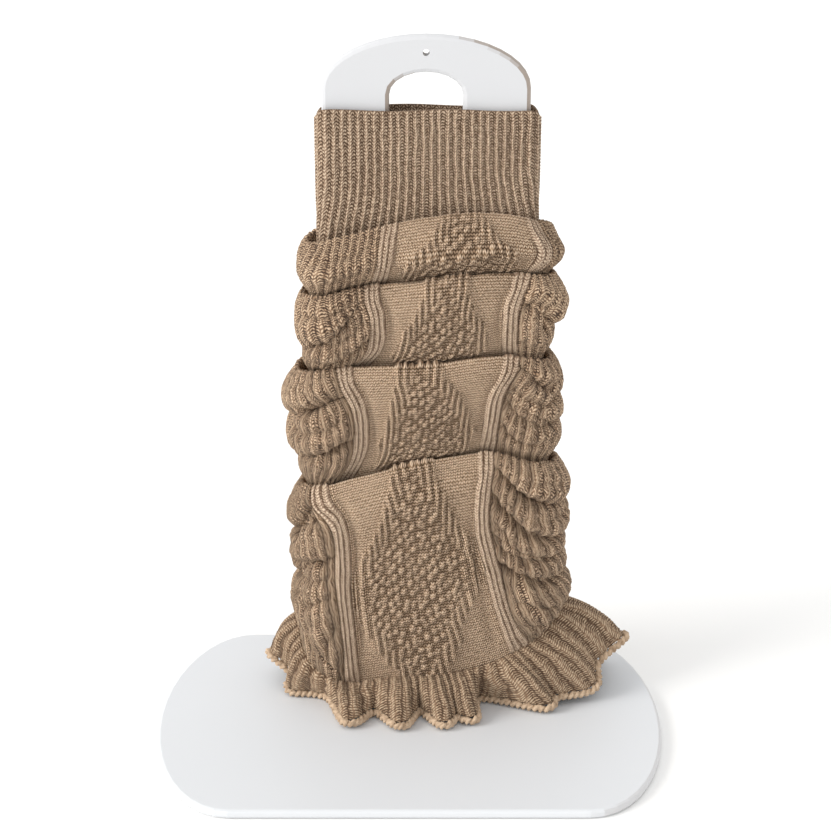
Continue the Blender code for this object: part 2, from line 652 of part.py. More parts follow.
def build():
    """Builds the whole part in an empty scene."""
    for thing in list(bpy.data.objects):
        bpy.data.objects.remove(thing)
    collection = bpy.data.collections.new("leg warmer on a stand")
    cutters = bpy.data.collections.new("cutters")
    for group in (collection, cutters):
        bpy.context.scene.collection.children.link(group)
    knit = (0.36, 0.25, 0.165)
    light_knit = (0.46, 0.33, 0.225)
    white = (0.84, 0.84, 0.83)

    make_base(collection, cutters, white)
    make_board(collection, cutters, white)
    make_cuff(collection, knit)

    edge = BAND_WIDTH / 2 + SEAM

    def beside(band, way, lap=0.0):
        return lambda v: band_places(v)[band] + way * edge + lap

    make_panel("front_panel", beside("front_left", 1), beside("front_right", -1), FRONT_COLUMNS, collection, knit)
    make_panel("back_panel", beside("back_right", 1), beside("back_left", -1), BACK_COLUMNS, collection, knit)
    make_side("side_right", "right", beside("front_right", 1), beside("back_right", -1), collection, knit)
    make_side("side_left", "left", beside("back_left", 1), beside("front_left", -1, ROUND), collection, knit)
    for band in ("front_left", "front_right", "back_right", "back_left"):
        make_band("band_" + band, lambda v, band=band: band_places(v)[band], collection, light_knit)
    make_ruffle(collection, knit, light_knit)


build()
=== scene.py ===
"""Looks of a ruffled knit leg warmer on its display stand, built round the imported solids.

Sizes in the tables are millimetres. A place on the cloth tube is s, the distance round it from the front
middle to the right, and v, the row of PROFILE down the cloth. Knit relief is real form down to the single
rib and blob. Finer stitches are bump and colour on the UV map "Yarn", which counts knit columns across and
stitches down.
"""

import math

import bpy
import numpy as np
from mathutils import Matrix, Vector


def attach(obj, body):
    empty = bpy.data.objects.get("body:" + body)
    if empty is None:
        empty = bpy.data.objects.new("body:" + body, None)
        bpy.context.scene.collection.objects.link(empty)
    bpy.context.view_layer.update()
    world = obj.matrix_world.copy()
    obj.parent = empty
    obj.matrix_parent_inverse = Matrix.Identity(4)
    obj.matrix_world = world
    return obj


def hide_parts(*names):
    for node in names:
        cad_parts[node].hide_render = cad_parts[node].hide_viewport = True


MM = 0.001

# Stand
BASE_TOP = 5.0
BOARD_Y = 37.0

# Cloth tube, as in the solids
TUBE_X = 9.9
FLAT = 52.0
CORE_RADIUS = 5.4
SPREAD = 12.0
ROUND = 4 * FLAT + 2 * math.pi * (CORE_RADIUS + SPREAD)
WALL = 1.5
SEAM = -0.2
STEP_DOWN = 1.0
INSIDE_EVERY = 8
# Painted shade on the plain inside of the cloth wall, which lies in shade inside the tube
INSIDE_PAINTED_SHADE = 0.8

# Ribs: how much later each one's stitches start than its neighbour's, in stitches, how far the knit column
# dips between its stitches, and the purl bumps beside it: how high, how wide, and how much narrower beside a
# wider column
RIB_PHASE = 0.37
STITCH_DIP = 0.14
PURL_HEIGHT = 0.5
PURL_WIDE = 0.46
PURL_NARROWED = 0.8

# Cuff
CUFF_TOP = 354.0
CUFF_DROP = 4.0
CUFF_TUCK = 6.9
CUFF_DEPTH = 1.3
CUFF_WALL = 2.0
CUFF_RIBS = 58
CUFF_RIB_HEIGHT = 1.3
CUFF_COURSE = 1.75
CUFF_ROWS = 126
CUFF_FLARE = 5.5
CUFF_SPAN = 69.0
CUFF_POINTS = 9
CUFF_RIDGE = 0.25
CUFF_SINK = 0.3
CUFF_FLARE_START = 0.45
CUFF_SWAY = 0.5
CUFF_SWAYS = 4

# Bands and panels
BAND_WIDTH = 9.6
BAND_RAISED = 2.3
BAND_RIBS = 3
BAND_RIB_HEIGHT = 1.1
BAND_FADE = 1.2
BAND_RIDGE = 0.42
BAND_FOLDED_RELIEF = 0.4
BACK_PANEL_HALF = 42.0
BACK_WANDER = 3.5
BACK_WANDER_TURN = 0.55
BACK_LEFT_SHARE = 0.7
PANEL_SWELL = 2.2
SWELL_ROWS = 6
BAND_DIP = 1.6
DIP_SPREAD = 9.0
PANEL_STEP = 0.46
WALE = 1.75
COURSE = 1.5
DIAMOND_RAISED = 0.9
DIAMOND_RIB = 3.7
DIAMOND_DROP = 5.5
DIAMOND_RELIEF = 1.9
DIAMOND_SOFT = 0.035
DIAMOND_BORDER = 0.11
DIAMOND_BORDER_FADE = (0.7, 1.2)
DIAMOND_RIDGE = 0.3
# Painted shade in the raised diamonds, less on the blobs' tops, where it leaves a painted highlight; the
# plain knit round them gets an even share of the same darkening
DIAMOND_PAINTED_SHADE = 0.62
DIAMOND_FOLDED = 0.25
PANEL_HOLLOW = 0.34
BLOB_SLANT = 0.3
BLOB_JITTER = 0.26
BLOB_WIDE = 0.52
BLOB_HIGH = 0.4
BLOB_HEIGHT = 0.8
BLOB_LIT = 0.9
SIDE_RIB = 3.4
SIDE_RIB_HEIGHT = 1.0
SIDE_POINTS = 7
SIDE_RIDGE = 0.28

# Ruffle
RUFFLE_DROP = 0.6
RUFFLE_BOW_OUT = 2.4
RUFFLE_BOW_UP = 3.2
RUFFLE_RIDGE = 0.3
RUFFLE_ROWS = 50
SEAM_SOFTENING = (-8.0, -4.0, 0.0, 4.0, 8.0)
RIBS_PER_WAVE = 4
RUFFLE_POINTS = 12
RUFFLE_RIB_HEIGHT = 1.6
EDGE_RADIUS = 2.2
EDGE_LINK = 2.3
EDGE_OUT = 0.5
EDGE_CLEAR = 0.3

# How far ribs, borders and blobs wander, as a share of a rib or of a panel, and over how many rows
WANDERS = {
    "cuff": (0.04, 14),
    "side": (0.07, 9),
    "band": (0.05, 5),
    "ruffle": (0.05, 10),
    "border": (0.012, 4),
    "blobs": (0.10, 7),
}

# Camera, fitted to the photo: lens in mm, place in metres and degrees that it looks down
CAMERA_LENS = 82.59
CAMERA_PLACE = (0.0034, -0.963, 0.58235)
CAMERA_TILT = 22.04

# Heights of the four folded crests, at eight stations evenly spaced round the tube
CRESTS = {
    # line: front, front right, right, back right, back, back left, left, front left
    "roll": (297.0, 299.0, 289.5, 288.0, 291.0, 289.5, 280.5, 287.5),
    "second": (264.5, 267.5, 262.0, 258.0, 261.0, 258.0, 252.0, 258.5),
    "third": (216.5, 220.5, 213.5, 215.0, 213.0, 215.0, 207.0, 214.0),
    "fourth": (159.5, 163.0, 152.5, 150.0, 155.0, 147.0, 136.5, 149.0),
}

# The cloth's path from the cuff down to the ruffle's seam: a share of the way between two lines, a rise
# from there, the depth off the core, the middles of the two front bands, how far the gathers act, and how
# much nearer the core the cloth is drawn at the tube's two ends
PROFILE = (
    # place, upper line, lower line, share, rise, depth, left band, right band, gather, left in, right in
    ("roll start", "roll", "second", 0, -8, 1.5, -20, 50, 0, 0, 0),
    ("roll turn", "roll", "second", 0, -10.6, 3.6, -20, 51, 0, 0, 0),
    ("roll rise", "roll", "second", 0, -7.2, 5.9, -20, 53.5, 0, 0, 0),
    ("roll lip", "roll", "second", 0, 0, 8, -20, 57, 0, 0, 0),
    ("roll top", "roll", "second", 0, -5.5, 11.9, -21, 59.5, 0.3, 2, 2),
    ("roll shoulder", "roll", "second", 0.36, 0, 15.2, -22, 61, 0.8, 6.5, 5.5),
    ("roll belly", "roll", "second", 0.53, 0, 16.4, -23, 62, 1, 9, 5),
    ("roll under", "roll", "second", 0.72, 0, 14.8, -24.5, 60.5, 0.6, 8, 4.5),
    ("roll tuck", "roll", "second", 1, -1, 8.8, -27, 57, 0, 5, 4),
    ("roll foot", "second", "third", 0, -7.6, 7.4, -29, 54, 0, 5.5, 5),
    ("second turn", "second", "third", 0, -10.2, 9.8, -29.5, 53, 0, 5.5, 5),
    ("second rise", "second", "third", 0, -7, 12.2, -30, 52, 0, 5.5, 5),
    ("second lip", "second", "third", 0, 0, 14.4, -30, 51, 0.25, 5.5, 5),
    ("second face", "second", "third", 0, -7, 17, -29.5, 49, 0.7, 6.5, 5.5),
    ("second belly", "second", "third", 0.38, 0, 18.4, -27, 45.5, 1, 10.5, 6.5),
    ("second low", "second", "third", 0.72, 0, 16.6, -28, 45, 0.8, 10, 10),
    ("second tuck", "second", "third", 1, -0.5, 10.6, -36, 45.5, 0, 6, 7.5),
    ("second foot", "third", "fourth", 0, -8.4, 9, -41, 46, 0, 4, 7),
    ("third turn", "third", "fourth", 0, -11, 11.4, -43, 46, 0, 3, 7),
    ("third rise", "third", "fourth", 0, -7.8, 13.8, -45, 46, 0, 3, 7),
    ("third lip", "third", "fourth", 0, 0, 16, -45.5, 46, 0.25, 3, 7),
    ("third face", "third", "fourth", 0, -7.8, 18.6, -44, 44.5, 0.7, 2.5, 7.5),
    ("third belly", "third", "fourth", 0.36, 0, 19.8, -37.5, 38, 1, 3.5, 8),
    ("third low", "third", "fourth", 0.72, 0, 18, -37, 35, 0.8, 6, 5),
    ("third tuck", "third", "fourth", 1, -0.5, 12, -45, 33.5, 0, 5, 4),
    ("third foot", "fourth", "seam", 0, -9.8, 10.4, -52, 33, 0, 5, 4),
    ("fourth turn", "fourth", "seam", 0, -12.4, 12.8, -55, 33, 0, 5, 4),
    ("fourth rise", "fourth", "seam", 0, -9.2, 15.2, -58, 33, 0, 5, 4),
    ("fourth lip", "fourth", "seam", 0, 0, 17.4, -59, 33, 0.25, 5, 4),
    ("fourth face", "fourth", "seam", 0, -9.2, 20, -57, 33, 0.7, 5.5, 4),
    ("fourth shoulder", "fourth", "seam", 0.18, 0, 20.8, -50, 31.5, 1, 6, 4),
    ("fourth chest", "fourth", "seam", 0.33, 0, 21.2, -47.5, 31.5, 1, 6, 4.5),
    ("fourth belly", "fourth", "seam", 0.52, 0, 21.4, -47.5, 37, 1, 7.5, 5),
    ("fourth waist", "fourth", "seam", 0.72, 0, 21, -45.5, 43, 1, 6.5, 3),
    ("fourth low", "fourth", "seam", 0.88, 0, 20, -44, 49, 1, 5.5, 0.5),
    ("seam", "fourth", "seam", 1, 0, 18, -43, 53, 0.2, 4, 0),
)

# Gathers of the side panels, top to bottom: each row is a puffed lobe, with the heights of the groove
# below it beside the front band, at the middle of the side and beside the back band
GATHERS = {
    "left": (
        # lobe, front, middle, back, puff
        ("roll", 262, 252, 257, 5),
        ("second upper", 256, 223, 236, 7),
        ("second lower", 233, 206, 217, 7),
        ("third upper", 200, 183, 196, 9),
        ("third lower", 174, 157, 170, 8),
        ("third foot", 150, 139, 148, 6),
        ("fourth top", 133, 108, 125, 9),
        ("fourth upper", 104, 81, 99, 7),
        ("fourth hanging", 20, 58, 38, 7),
    ),
    "right": (
        # lobe, front, middle, back, puff
        ("roll", 270, 265, 262, 6),
        ("second upper", 255, 233, 240, 9),
        ("second lower", 224, 217, 219, 5),
        ("third top", 219, 194, 201, 8),
        ("third sausage", 205, 179, 186, 6),
        ("third lower", 168, 156, 152, 6),
        ("fourth top", 160, 130, 136, 9),
        ("fourth upper", 146, 109, 118, 8),
        ("fourth middle", 119, 97, 99, 5),
        ("fourth low", 100, 85, 78, 5),
        ("fourth foot", 40, 64, 44, 8),
    ),
}
GATHER_SINK = 0.45
GATHER_DROOP = 1.35
GATHER_EDGE = 0.13

# Creases laid on the cloth: how deep and how wide each is, and the places it runs through. The ones
# behind are the same, turned about the tube's ends and set lower
CREASES = {
    "left": (
        # depth, width, places (s, height)
        (6.5, 2.3, ((-62, 125), (-60, 123), (-59, 120))),
        (7.0, 2.5, ((-71, 114), (-69, 111), (-67, 110))),
        (2.8, 2.0, ((-61, 122), (-66, 117), (-71, 113), (-77, 112))),
        (3.0, 2.2, ((-53, 95), (-60, 98), (-68, 94), (-77, 92))),
        (2.4, 2.4, ((-53, 88), (-60, 84), (-68, 83), (-77, 86))),
        (2.2, 1.9, ((-54, 77), (-60, 70), (-65, 66))),
        (1.9, 1.8, ((-66, 76), (-72, 70), (-77, 71))),
        (2.4, 2.0, ((-51, 62), (-55, 48), (-56, 34))),
        (2.0, 2.2, ((-62, 58), (-64, 46), (-62, 34))),
        (2.0, 2.0, ((-64, 137), (-70, 132), (-77, 131))),
        (6.0, 2.4, ((-64, 191), (-61.5, 189.0), (-59, 189))),
        (2.8, 2.1, ((-50, 200), (-56, 195), (-61, 190), (-69, 189))),
        (2.4, 2.2, ((-48, 187), (-54, 180), (-62, 176), (-72, 178))),
        (2.6, 2.0, ((-46, 173), (-54, 165), (-62, 161), (-74, 163))),
        (1.9, 1.8, ((-56, 207), (-64, 205), (-73, 200))),
        (2.0, 1.8, ((-51, 170), (-55, 160), (-56, 151))),
        (3.2, 2.2, ((-36, 256), (-44, 250), (-54, 244), (-65, 243))),
        (2.6, 2.4, ((-34, 247), (-40, 236), (-50, 229), (-62, 228))),
        (2.4, 2.0, ((-34, 232), (-42, 222), (-52, 218), (-63, 219))),
        (2.0, 1.8, ((-41, 244), (-46, 240), (-49, 236))),
        (2.0, 2.2, ((-30, 283), (-38, 278), (-50, 275), (-62, 271))),
        (1.8, 1.9, ((-36, 270), (-46, 267), (-57, 262))),
    ),
    "right": (
        # depth, width, places (s, height)
        (3.4, 2.2, ((38, 153), (45, 149), (50, 144), (57, 137), (65, 134))),
        (3.6, 2.4, ((37, 138), (43, 131), (48, 125), (56, 115), (65, 110), (75, 112))),
        (3.0, 2.1, ((38, 111), (46, 105), (54, 101), (60, 98), (69, 99))),
        (3.0, 2.3, ((42, 99), (48, 95), (54, 89), (60, 84), (72, 82))),
        (2.6, 2.2, ((39, 92), (45, 72), (51, 54))),
        (2.4, 1.8, ((43, 142), (49, 133), (53, 124))),
        (1.9, 1.7, ((52, 148), (60, 147), (69, 141))),
        (2.2, 1.9, ((39, 126), (44, 119), (48, 112))),
        (2.2, 2.0, ((51, 76), (60, 70), (69, 66))),
        (1.8, 1.8, ((55, 60), (63, 57), (71, 60))),
        (2.0, 1.7, ((62, 125), (70, 122), (77, 124))),
        (2.8, 2.1, ((45, 219), (54, 215), (67, 214))),
        (3.2, 2.3, ((44, 208), (52, 200), (60, 193), (72, 192))),
        (2.6, 2.1, ((42, 198), (50, 188), (60, 180), (71, 179))),
        (2.4, 1.9, ((41, 185), (48, 174), (58, 168))),
        (2.0, 1.8, ((54, 207), (62, 203), (73, 205))),
        (2.0, 1.8, ((46, 177), (53, 170), (64, 172))),
        (4.2, 2.5, ((51, 252), (57, 253), (62, 249), (62.5, 242.0), (59, 235))),
        (2.4, 2.0, ((50, 232), (57, 226), (67, 228))),
        (2.0, 1.8, ((66, 250), (71, 244), (77, 244))),
        (2.2, 2.1, ((62, 285), (69, 281), (77, 282))),
        (1.8, 1.9, ((63, 276), (71, 273))),
    ),
    "panels": (
        # depth, width, places (s, height)
        (1.8, 3.2, ((-50, 140), (-42, 112), (-41, 80), (-38, 40))),
        (1.5, 3.0, ((27, 128), (26, 108), (30, 78), (40, 44))),
        (1.0, 5.0, ((-34, 146), (-14, 147), (8, 154), (24, 158))),
        (1.6, 3.0, ((-37, 205), (-33, 186), (-30, 172))),
        (1.4, 3.0, ((38, 205), (33, 188), (29, 174))),
        (1.5, 2.8, ((-24, 258), (-22, 246), (-21, 232))),
        (1.6, 2.8, ((43, 258), (40, 244), (39, 230))),
        (1.0, 3.4, ((-10, 286), (12, 283), (40, 288))),
        (4.5, 4.2, ((-16, 266), (10, 270), (34, 274), (62, 272))),
    ),
}
CREASE_END = 6.0
CREASE_RIDGE = 0.3
CREASE_RIDGE_AWAY = 2.2
CREASE_MARGIN = 3.0
BEHIND_DROP = 6.0

# Raised diamonds of the front and back panels, as a share of the panel's width at each place
DIAMONDS = (
    # place, middle, half width
    ("roll lip", 0.50, 0.14),
    ("roll shoulder", 0.50, 0.26),
    ("roll belly", 0.50, 0.36),
    ("roll under", 0.50, 0.44),
    ("second lip", 0.50, 0.15),
    ("second face", 0.50, 0.17),
    ("second belly", 0.50, 0.27),
    ("second low", 0.50, 0.40),
    ("third lip", 0.44, 0.15),
    ("third face", 0.45, 0.16),
    ("third belly", 0.49, 0.30),
    ("third low", 0.51, 0.44),
    ("fourth lip", 0.56, 0.14),
    ("fourth face", 0.55, 0.15),
    ("fourth shoulder", 0.54, 0.26),
    ("fourth chest", 0.53, 0.39),
    ("fourth belly", 0.50, 0.52),
    ("fourth waist", 0.43, 0.37),
    ("fourth low", 0.43, 0.24),
    ("seam", 0.43, 0.16),
)

# Ruffle waves round the hem: where each starts on the seam, the seam's height there, the wave's outermost
# point from the tube's middle and its height, and how far the trough after it folds back in
WAVES = (
    # wave, seam place, seam height, hem x, hem y, hem height, fold
    ("front middle left", -15, 25, -15, -53, 9.8, 17),
    ("front middle", 4, 26, 9, -52, 9.8, 6),
    ("front middle right", 20, 28, 27, -46, 10, 24),
    ("front right", 44, 35, 68, -34, 10.6, 8),
    ("right front", 60, 46, 97, -20, 15, 7),
    ("right tip", 79, 66, 116, 2, 37, 10),
    ("right back", 96, 56, 105, 26, 15, 10),
    ("back right", 114, 40, 80, 42, 10, 12),
    ("back middle right", 131, 31, 50, 48, 9.8, 14),
    ("back middle", 148, 28, 20, 49, 9.8, 13),
    ("back middle left", 166, 27, -11, 46, 9.8, 15),
    ("back left", 185, 30, -42, 48, 9.8, 12),
    ("left back", 203, 38, -70, 36, 10, 11),
    ("left rear tip", 220, 52, -87, 18, 18, 9),
    ("left tip", 236, 54, -92, 1, 27, 6),
    ("left foot", 250, 30, -80, -14, 10.2, 12),
    ("front left", 270, 17, -45, -50, 9.8, 15),
)

PLACES = [row[0] for row in PROFILE]
LAST_ROW = len(PROFILE) - 1


def unit(vectors):
    """Vectors cut to length 1; a zero vector stays zero."""
    return vectors / np.maximum(np.linalg.norm(vectors, axis=-1, keepdims=True), 1e-9)


def ease(low, high, value):
    """0 below low and 1 above high, with a soft change between them."""
    t = np.clip((value - low) / (high - low), 0, 1)
    return t * t * (3 - 2 * t)


def blend_four(a, b, c, d, t):
    """Smooth curve from b to c, through all four values."""
    return 0.5 * (2 * b + (c - a) * t + (2 * a - 5 * b + 4 * c - d) * t**2 + (3 * b - 3 * c + d - a) * t**3)


def uneven(rng, rows, columns, smooth):
    """Random values about 0 with a spread of about 1, one for each row and column, smooth down the rows."""
    values = rng.normal(size=(rows + 2 * smooth, columns))
    kernel = np.hanning(2 * smooth + 3)[1:-1]
    kernel /= math.sqrt((kernel**2).sum())
    return np.stack([np.convolve(column, kernel, mode="valid")[:rows] for column in values.T], axis=1)


def core_line(s):
    """Points on the flat core, s mm round from the front middle, and the directions away from it."""
    s = (np.asarray(s, float) + ROUND / 2) % ROUND - ROUND / 2
    turn_radius = CORE_RADIUS + SPREAD
    way = np.abs(s)
    turn = np.clip((way - FLAT) / turn_radius, 0, math.pi)
    run = np.where(way < FLAT, way, np.where(turn < math.pi, FLAT, 2 * FLAT + math.pi * turn_radius - way))
    away_x = np.sign(s) * np.sin(turn)
    away_y = -np.cos(turn)
    return np.sign(s) * run + CORE_RADIUS * away_x, CORE_RADIUS * away_y, away_x, away_y


def line_height(line, s):
    """Height of a crest line, or of the ruffle's seam, s mm round the tube."""
    if line == "seam":
        near = [np.asarray(s, float) + shift for shift in SEAM_SOFTENING]
        _, starts, heights, *_ = zip(*WAVES)
        return np.interp(near, starts, heights, period=ROUND).mean(axis=0)
    heights = CRESTS[line]
    place = np.asarray(s, float) / (ROUND / len(heights))
    station = np.floor(place).astype(int)
    near = [np.take(heights, station + k, mode="wrap") for k in (-1, 0, 1, 2)]
    return blend_four(*near, place - station)


def row_value(column, v):
    """Value of a PROFILE column at row v, on a smooth curve."""
    first = min(int(v), LAST_ROW - 1)
    near = [PROFILE[min(max(first + k, 0), LAST_ROW)][column] for k in (-1, 0, 1, 2)]
    return blend_four(*near, v - first)


def gather_share(v):
    """How far the gathers act at row v, from 0 to 1."""
    return min(max(row_value(8, v), 0.0), 1.0)


def band_places(v):
    """Middles of the four bands at row v, rightwards round the tube from the front left one."""
    wander = BACK_WANDER * math.sin(BACK_WANDER_TURN * v)
    half = ROUND / 2
    return {
        "front_left": row_value(6, v),
        "front_right": row_value(7, v),
        "back_right": half - BACK_PANEL_HALF + wander,
        "back_left": half + BACK_PANEL_HALF + BACK_LEFT_SHARE * wander,
    }


def cross_shape(s, v):
    """The panels swell between the bands, and the tube dips along the bands."""
    bands = list(band_places(v).values())
    ends = bands + [bands[0] + ROUND]
    s = (np.asarray(s, float) - ends[0]) % ROUND + ends[0]
    swell = np.zeros_like(s)
    for start, end in zip(ends, ends[1:]):
        share = np.clip((s - start) / (end - start), 0, 1)
        swell += PANEL_SWELL * np.sin(math.pi * share) ** 2
        swell -= BAND_DIP * np.exp(-(((s - start) / DIP_SPREAD) ** 2))
        swell -= BAND_DIP * np.exp(-(((s - end) / DIP_SPREAD) ** 2)) if end == ends[-1] else 0
    return swell * min(v / SWELL_ROWS, 1.0)


def tube_middle(s, v):
    """Middle of the cloth's wall at s and v, before the gathers."""
    first = min(int(v), LAST_ROW - 1)
    x, y, away_x, away_y = core_line(s)
    depths = []
    heights = []
    for k in (-1, 0, 1, 2):
        row = PROFILE[min(max(first + k, 0), LAST_ROW)]
        _, upper, lower, share, rise, depth, _, _, _, left_in, right_in = row
        top = line_height(upper, s)
        depths.append(depth - np.where(away_x < 0, left_in, right_in) * away_x**2)
        heights.append(top + (line_height(lower, s) - top) * share + rise)
    depth = blend_four(*depths, v - first) + cross_shape(s, v)
    return np.stack([x + away_x * depth, y + away_y * depth, blend_four(*heights, v - first)], -1)


def gather_height(side, s, v, height):
    """How far the gathered lobes of a side panel stand out at height, and sink in at the grooves."""
    bands = band_places(v)
    front, back = bands["front_right"], bands["back_right"]
    if side == "left":
        front, back = bands["front_left"] + ROUND, bands["back_left"]
    across = np.clip((s - front) / (back - front), 0, 1)
    edge = ease(0, GATHER_EDGE, np.minimum(across, 1 - across))
    sag = np.sin(math.pi * across) ** 2
    puffed = np.zeros_like(height)
    above = np.full_like(height, CRESTS["roll"][0])
    for _, front_z, middle_z, back_z, puff in GATHERS[side]:
        below = (front_z + (back_z - front_z) * across) * (1 - sag) + middle_z * sag
        share = (above - height) / np.maximum(above - below, 1.0)
        inside = (share > 0) & (share <= 1)
        lobe = np.sqrt(np.clip(1 - (2 * np.clip(share, 0, 1) ** GATHER_DROOP - 1) ** 2, 0, 1))
        puffed = np.where(inside, puff * (lobe - GATHER_SINK), puffed)
        above = below
    return puffed * edge * gather_share(v)


def crease_depth(side, s, height):
    """How deep the creases are at the places s and height, less the soft ridge that runs beside each."""
    s = (s + ROUND / 2) % ROUND - ROUND / 2
    total = np.zeros_like(s)
    for depth, width, path in CREASES[side]:
        ahead = np.array(path)
        behind = np.array([np.sign(path[0][0]) * ROUND / 2, -BEHIND_DROP]) + ahead * (-1, 1)
        for points in (ahead, behind):
            steps = np.diff(points, axis=0)
            lengths = np.hypot(*steps.T)
            starts = np.cumsum(lengths) - lengths
            away = np.full_like(s, np.inf)
            along = np.zeros_like(s)
            for first, step, length, start in zip(points, steps, lengths, starts):
                share = np.clip(((s - first[0]) * step[0] + (height - first[1]) * step[1]) / length**2, 0, 1)
                distance = np.hypot(s - first[0] - share * step[0], height - first[1] - share * step[1])
                along = np.where(distance < away, start + share * length, along)
                away = np.minimum(away, distance)
            end = min(CREASE_END, lengths.sum() / 2)
            fade = ease(0, end, np.minimum(along, lengths.sum() - along) + end / 3)
            ridge = CREASE_RIDGE * np.exp(-((away / width - CREASE_RIDGE_AWAY) ** 2))
            total += depth * (np.exp(-((away / width) ** 2)) - ridge) * fade
    return total


def fine_rows():
    """Rows v down the tube, about STEP_DOWN apart, and how far down the cloth each is, in mm."""
    stations = np.linspace(0, ROUND, 24, endpoint=False)
    rows = []
    for v in range(LAST_ROW):
        steps = [tube_middle(stations, v + k / 6) for k in range(7)]
        length = sum(np.linalg.norm(b - a, axis=1).mean() for a, b in zip(steps, steps[1:]))
        count = max(3, math.ceil(length / STEP_DOWN))
        rows += [v + k / count for k in range(count)]
    rows.append(float(LAST_ROW))
    down = [0.0]
    for a, b in zip(rows, rows[1:]):
        step = tube_middle(stations, b) - tube_middle(stations, a)
        down.append(down[-1] + np.linalg.norm(step, axis=1).mean())
    return rows, np.array(down)


def wandering(what, seed, rows, columns):
    """How far each of a number of ribs or lines wanders from its place, row by row."""
    spread, smooth = WANDERS[what]
    return spread * uneven(np.random.default_rng(seed), rows, columns, smooth)


def rib_ends(share, start, stop):
    """Ribs rise over the first part of a cloth's length, up to start, and sink to half after stop."""
    return ease(0.0, start, share) * (1 - 0.5 * ease(stop, 1.0, share))


def surface_normals(middle, ring):
    """Normals of a grid of points whose rows run down the cloth and whose columns run round it."""
    if ring:
        round_way = np.roll(middle, -1, axis=1) - np.roll(middle, 1, axis=1)
    else:
        round_way = np.gradient(middle, axis=1)
    return unit(np.cross(unit(np.gradient(middle, axis=0)), unit(round_way)))


def tube_grid(s, rows, side=None):
    """Middle points and outward normals of the wall at the places s, one line of them for each row."""
    middle = np.array([tube_middle(line, v) for line, v in zip(s, rows)])
    height = middle[:, :, 2]
    lift = np.zeros_like(height)
    if side in GATHERS:
        lift += np.array([gather_height(side, *line) for line in zip(s, rows, height)])
    if side in CREASES:
        margin = ease(0, CREASE_MARGIN, np.minimum(s - s[:, :1], s[:, -1:] - s))
        lift -= crease_depth(side, s, height) * margin * np.array([gather_share(v) for v in rows])[:, None]
    middle = middle + surface_normals(middle, False) * lift[:, :, None]
    return middle, surface_normals(middle, False)


def cloth_size(middle, ring):
    """Mean width and length in mm of the cloth in a grid of points, measured along its folds."""
    closed = np.concatenate([middle, middle[:, :1]], axis=1) if ring else middle
    width = np.linalg.norm(np.diff(closed, axis=1), axis=2).sum(axis=1).mean()
    length = np.linalg.norm(np.diff(middle, axis=0), axis=2).sum(axis=0).mean()
    return float(width), float(length)


def rib_relief(across, along, ridge):
    """Height 0 to 1 of rib knit. across is -0.5 to 0.5 over one rib, along counts its stitches, ridge is
    the half width of the knit column. Small purl bumps lie in the groove between two columns."""
    column = np.sqrt(np.clip(1 - (across / ridge) ** 2, 0, 1))
    column *= 1 - STITCH_DIP + STITCH_DIP * np.cos(2 * math.pi * (along - 2 * np.abs(across)))
    purl = PURL_WIDE - PURL_NARROWED * ridge
    bump = np.sqrt(np.clip(1 - ((0.5 - np.abs(across)) / purl) ** 2, 0, 1))
    bump *= PURL_HEIGHT * (0.5 - 0.5 * np.cos(2 * math.pi * along))
    return np.maximum(column, bump)


def add_object(name, data):
    """A new object in the scene that shows data."""
    thing = bpy.data.objects.new(name, data)
    bpy.context.scene.collection.objects.link(thing)
    return thing


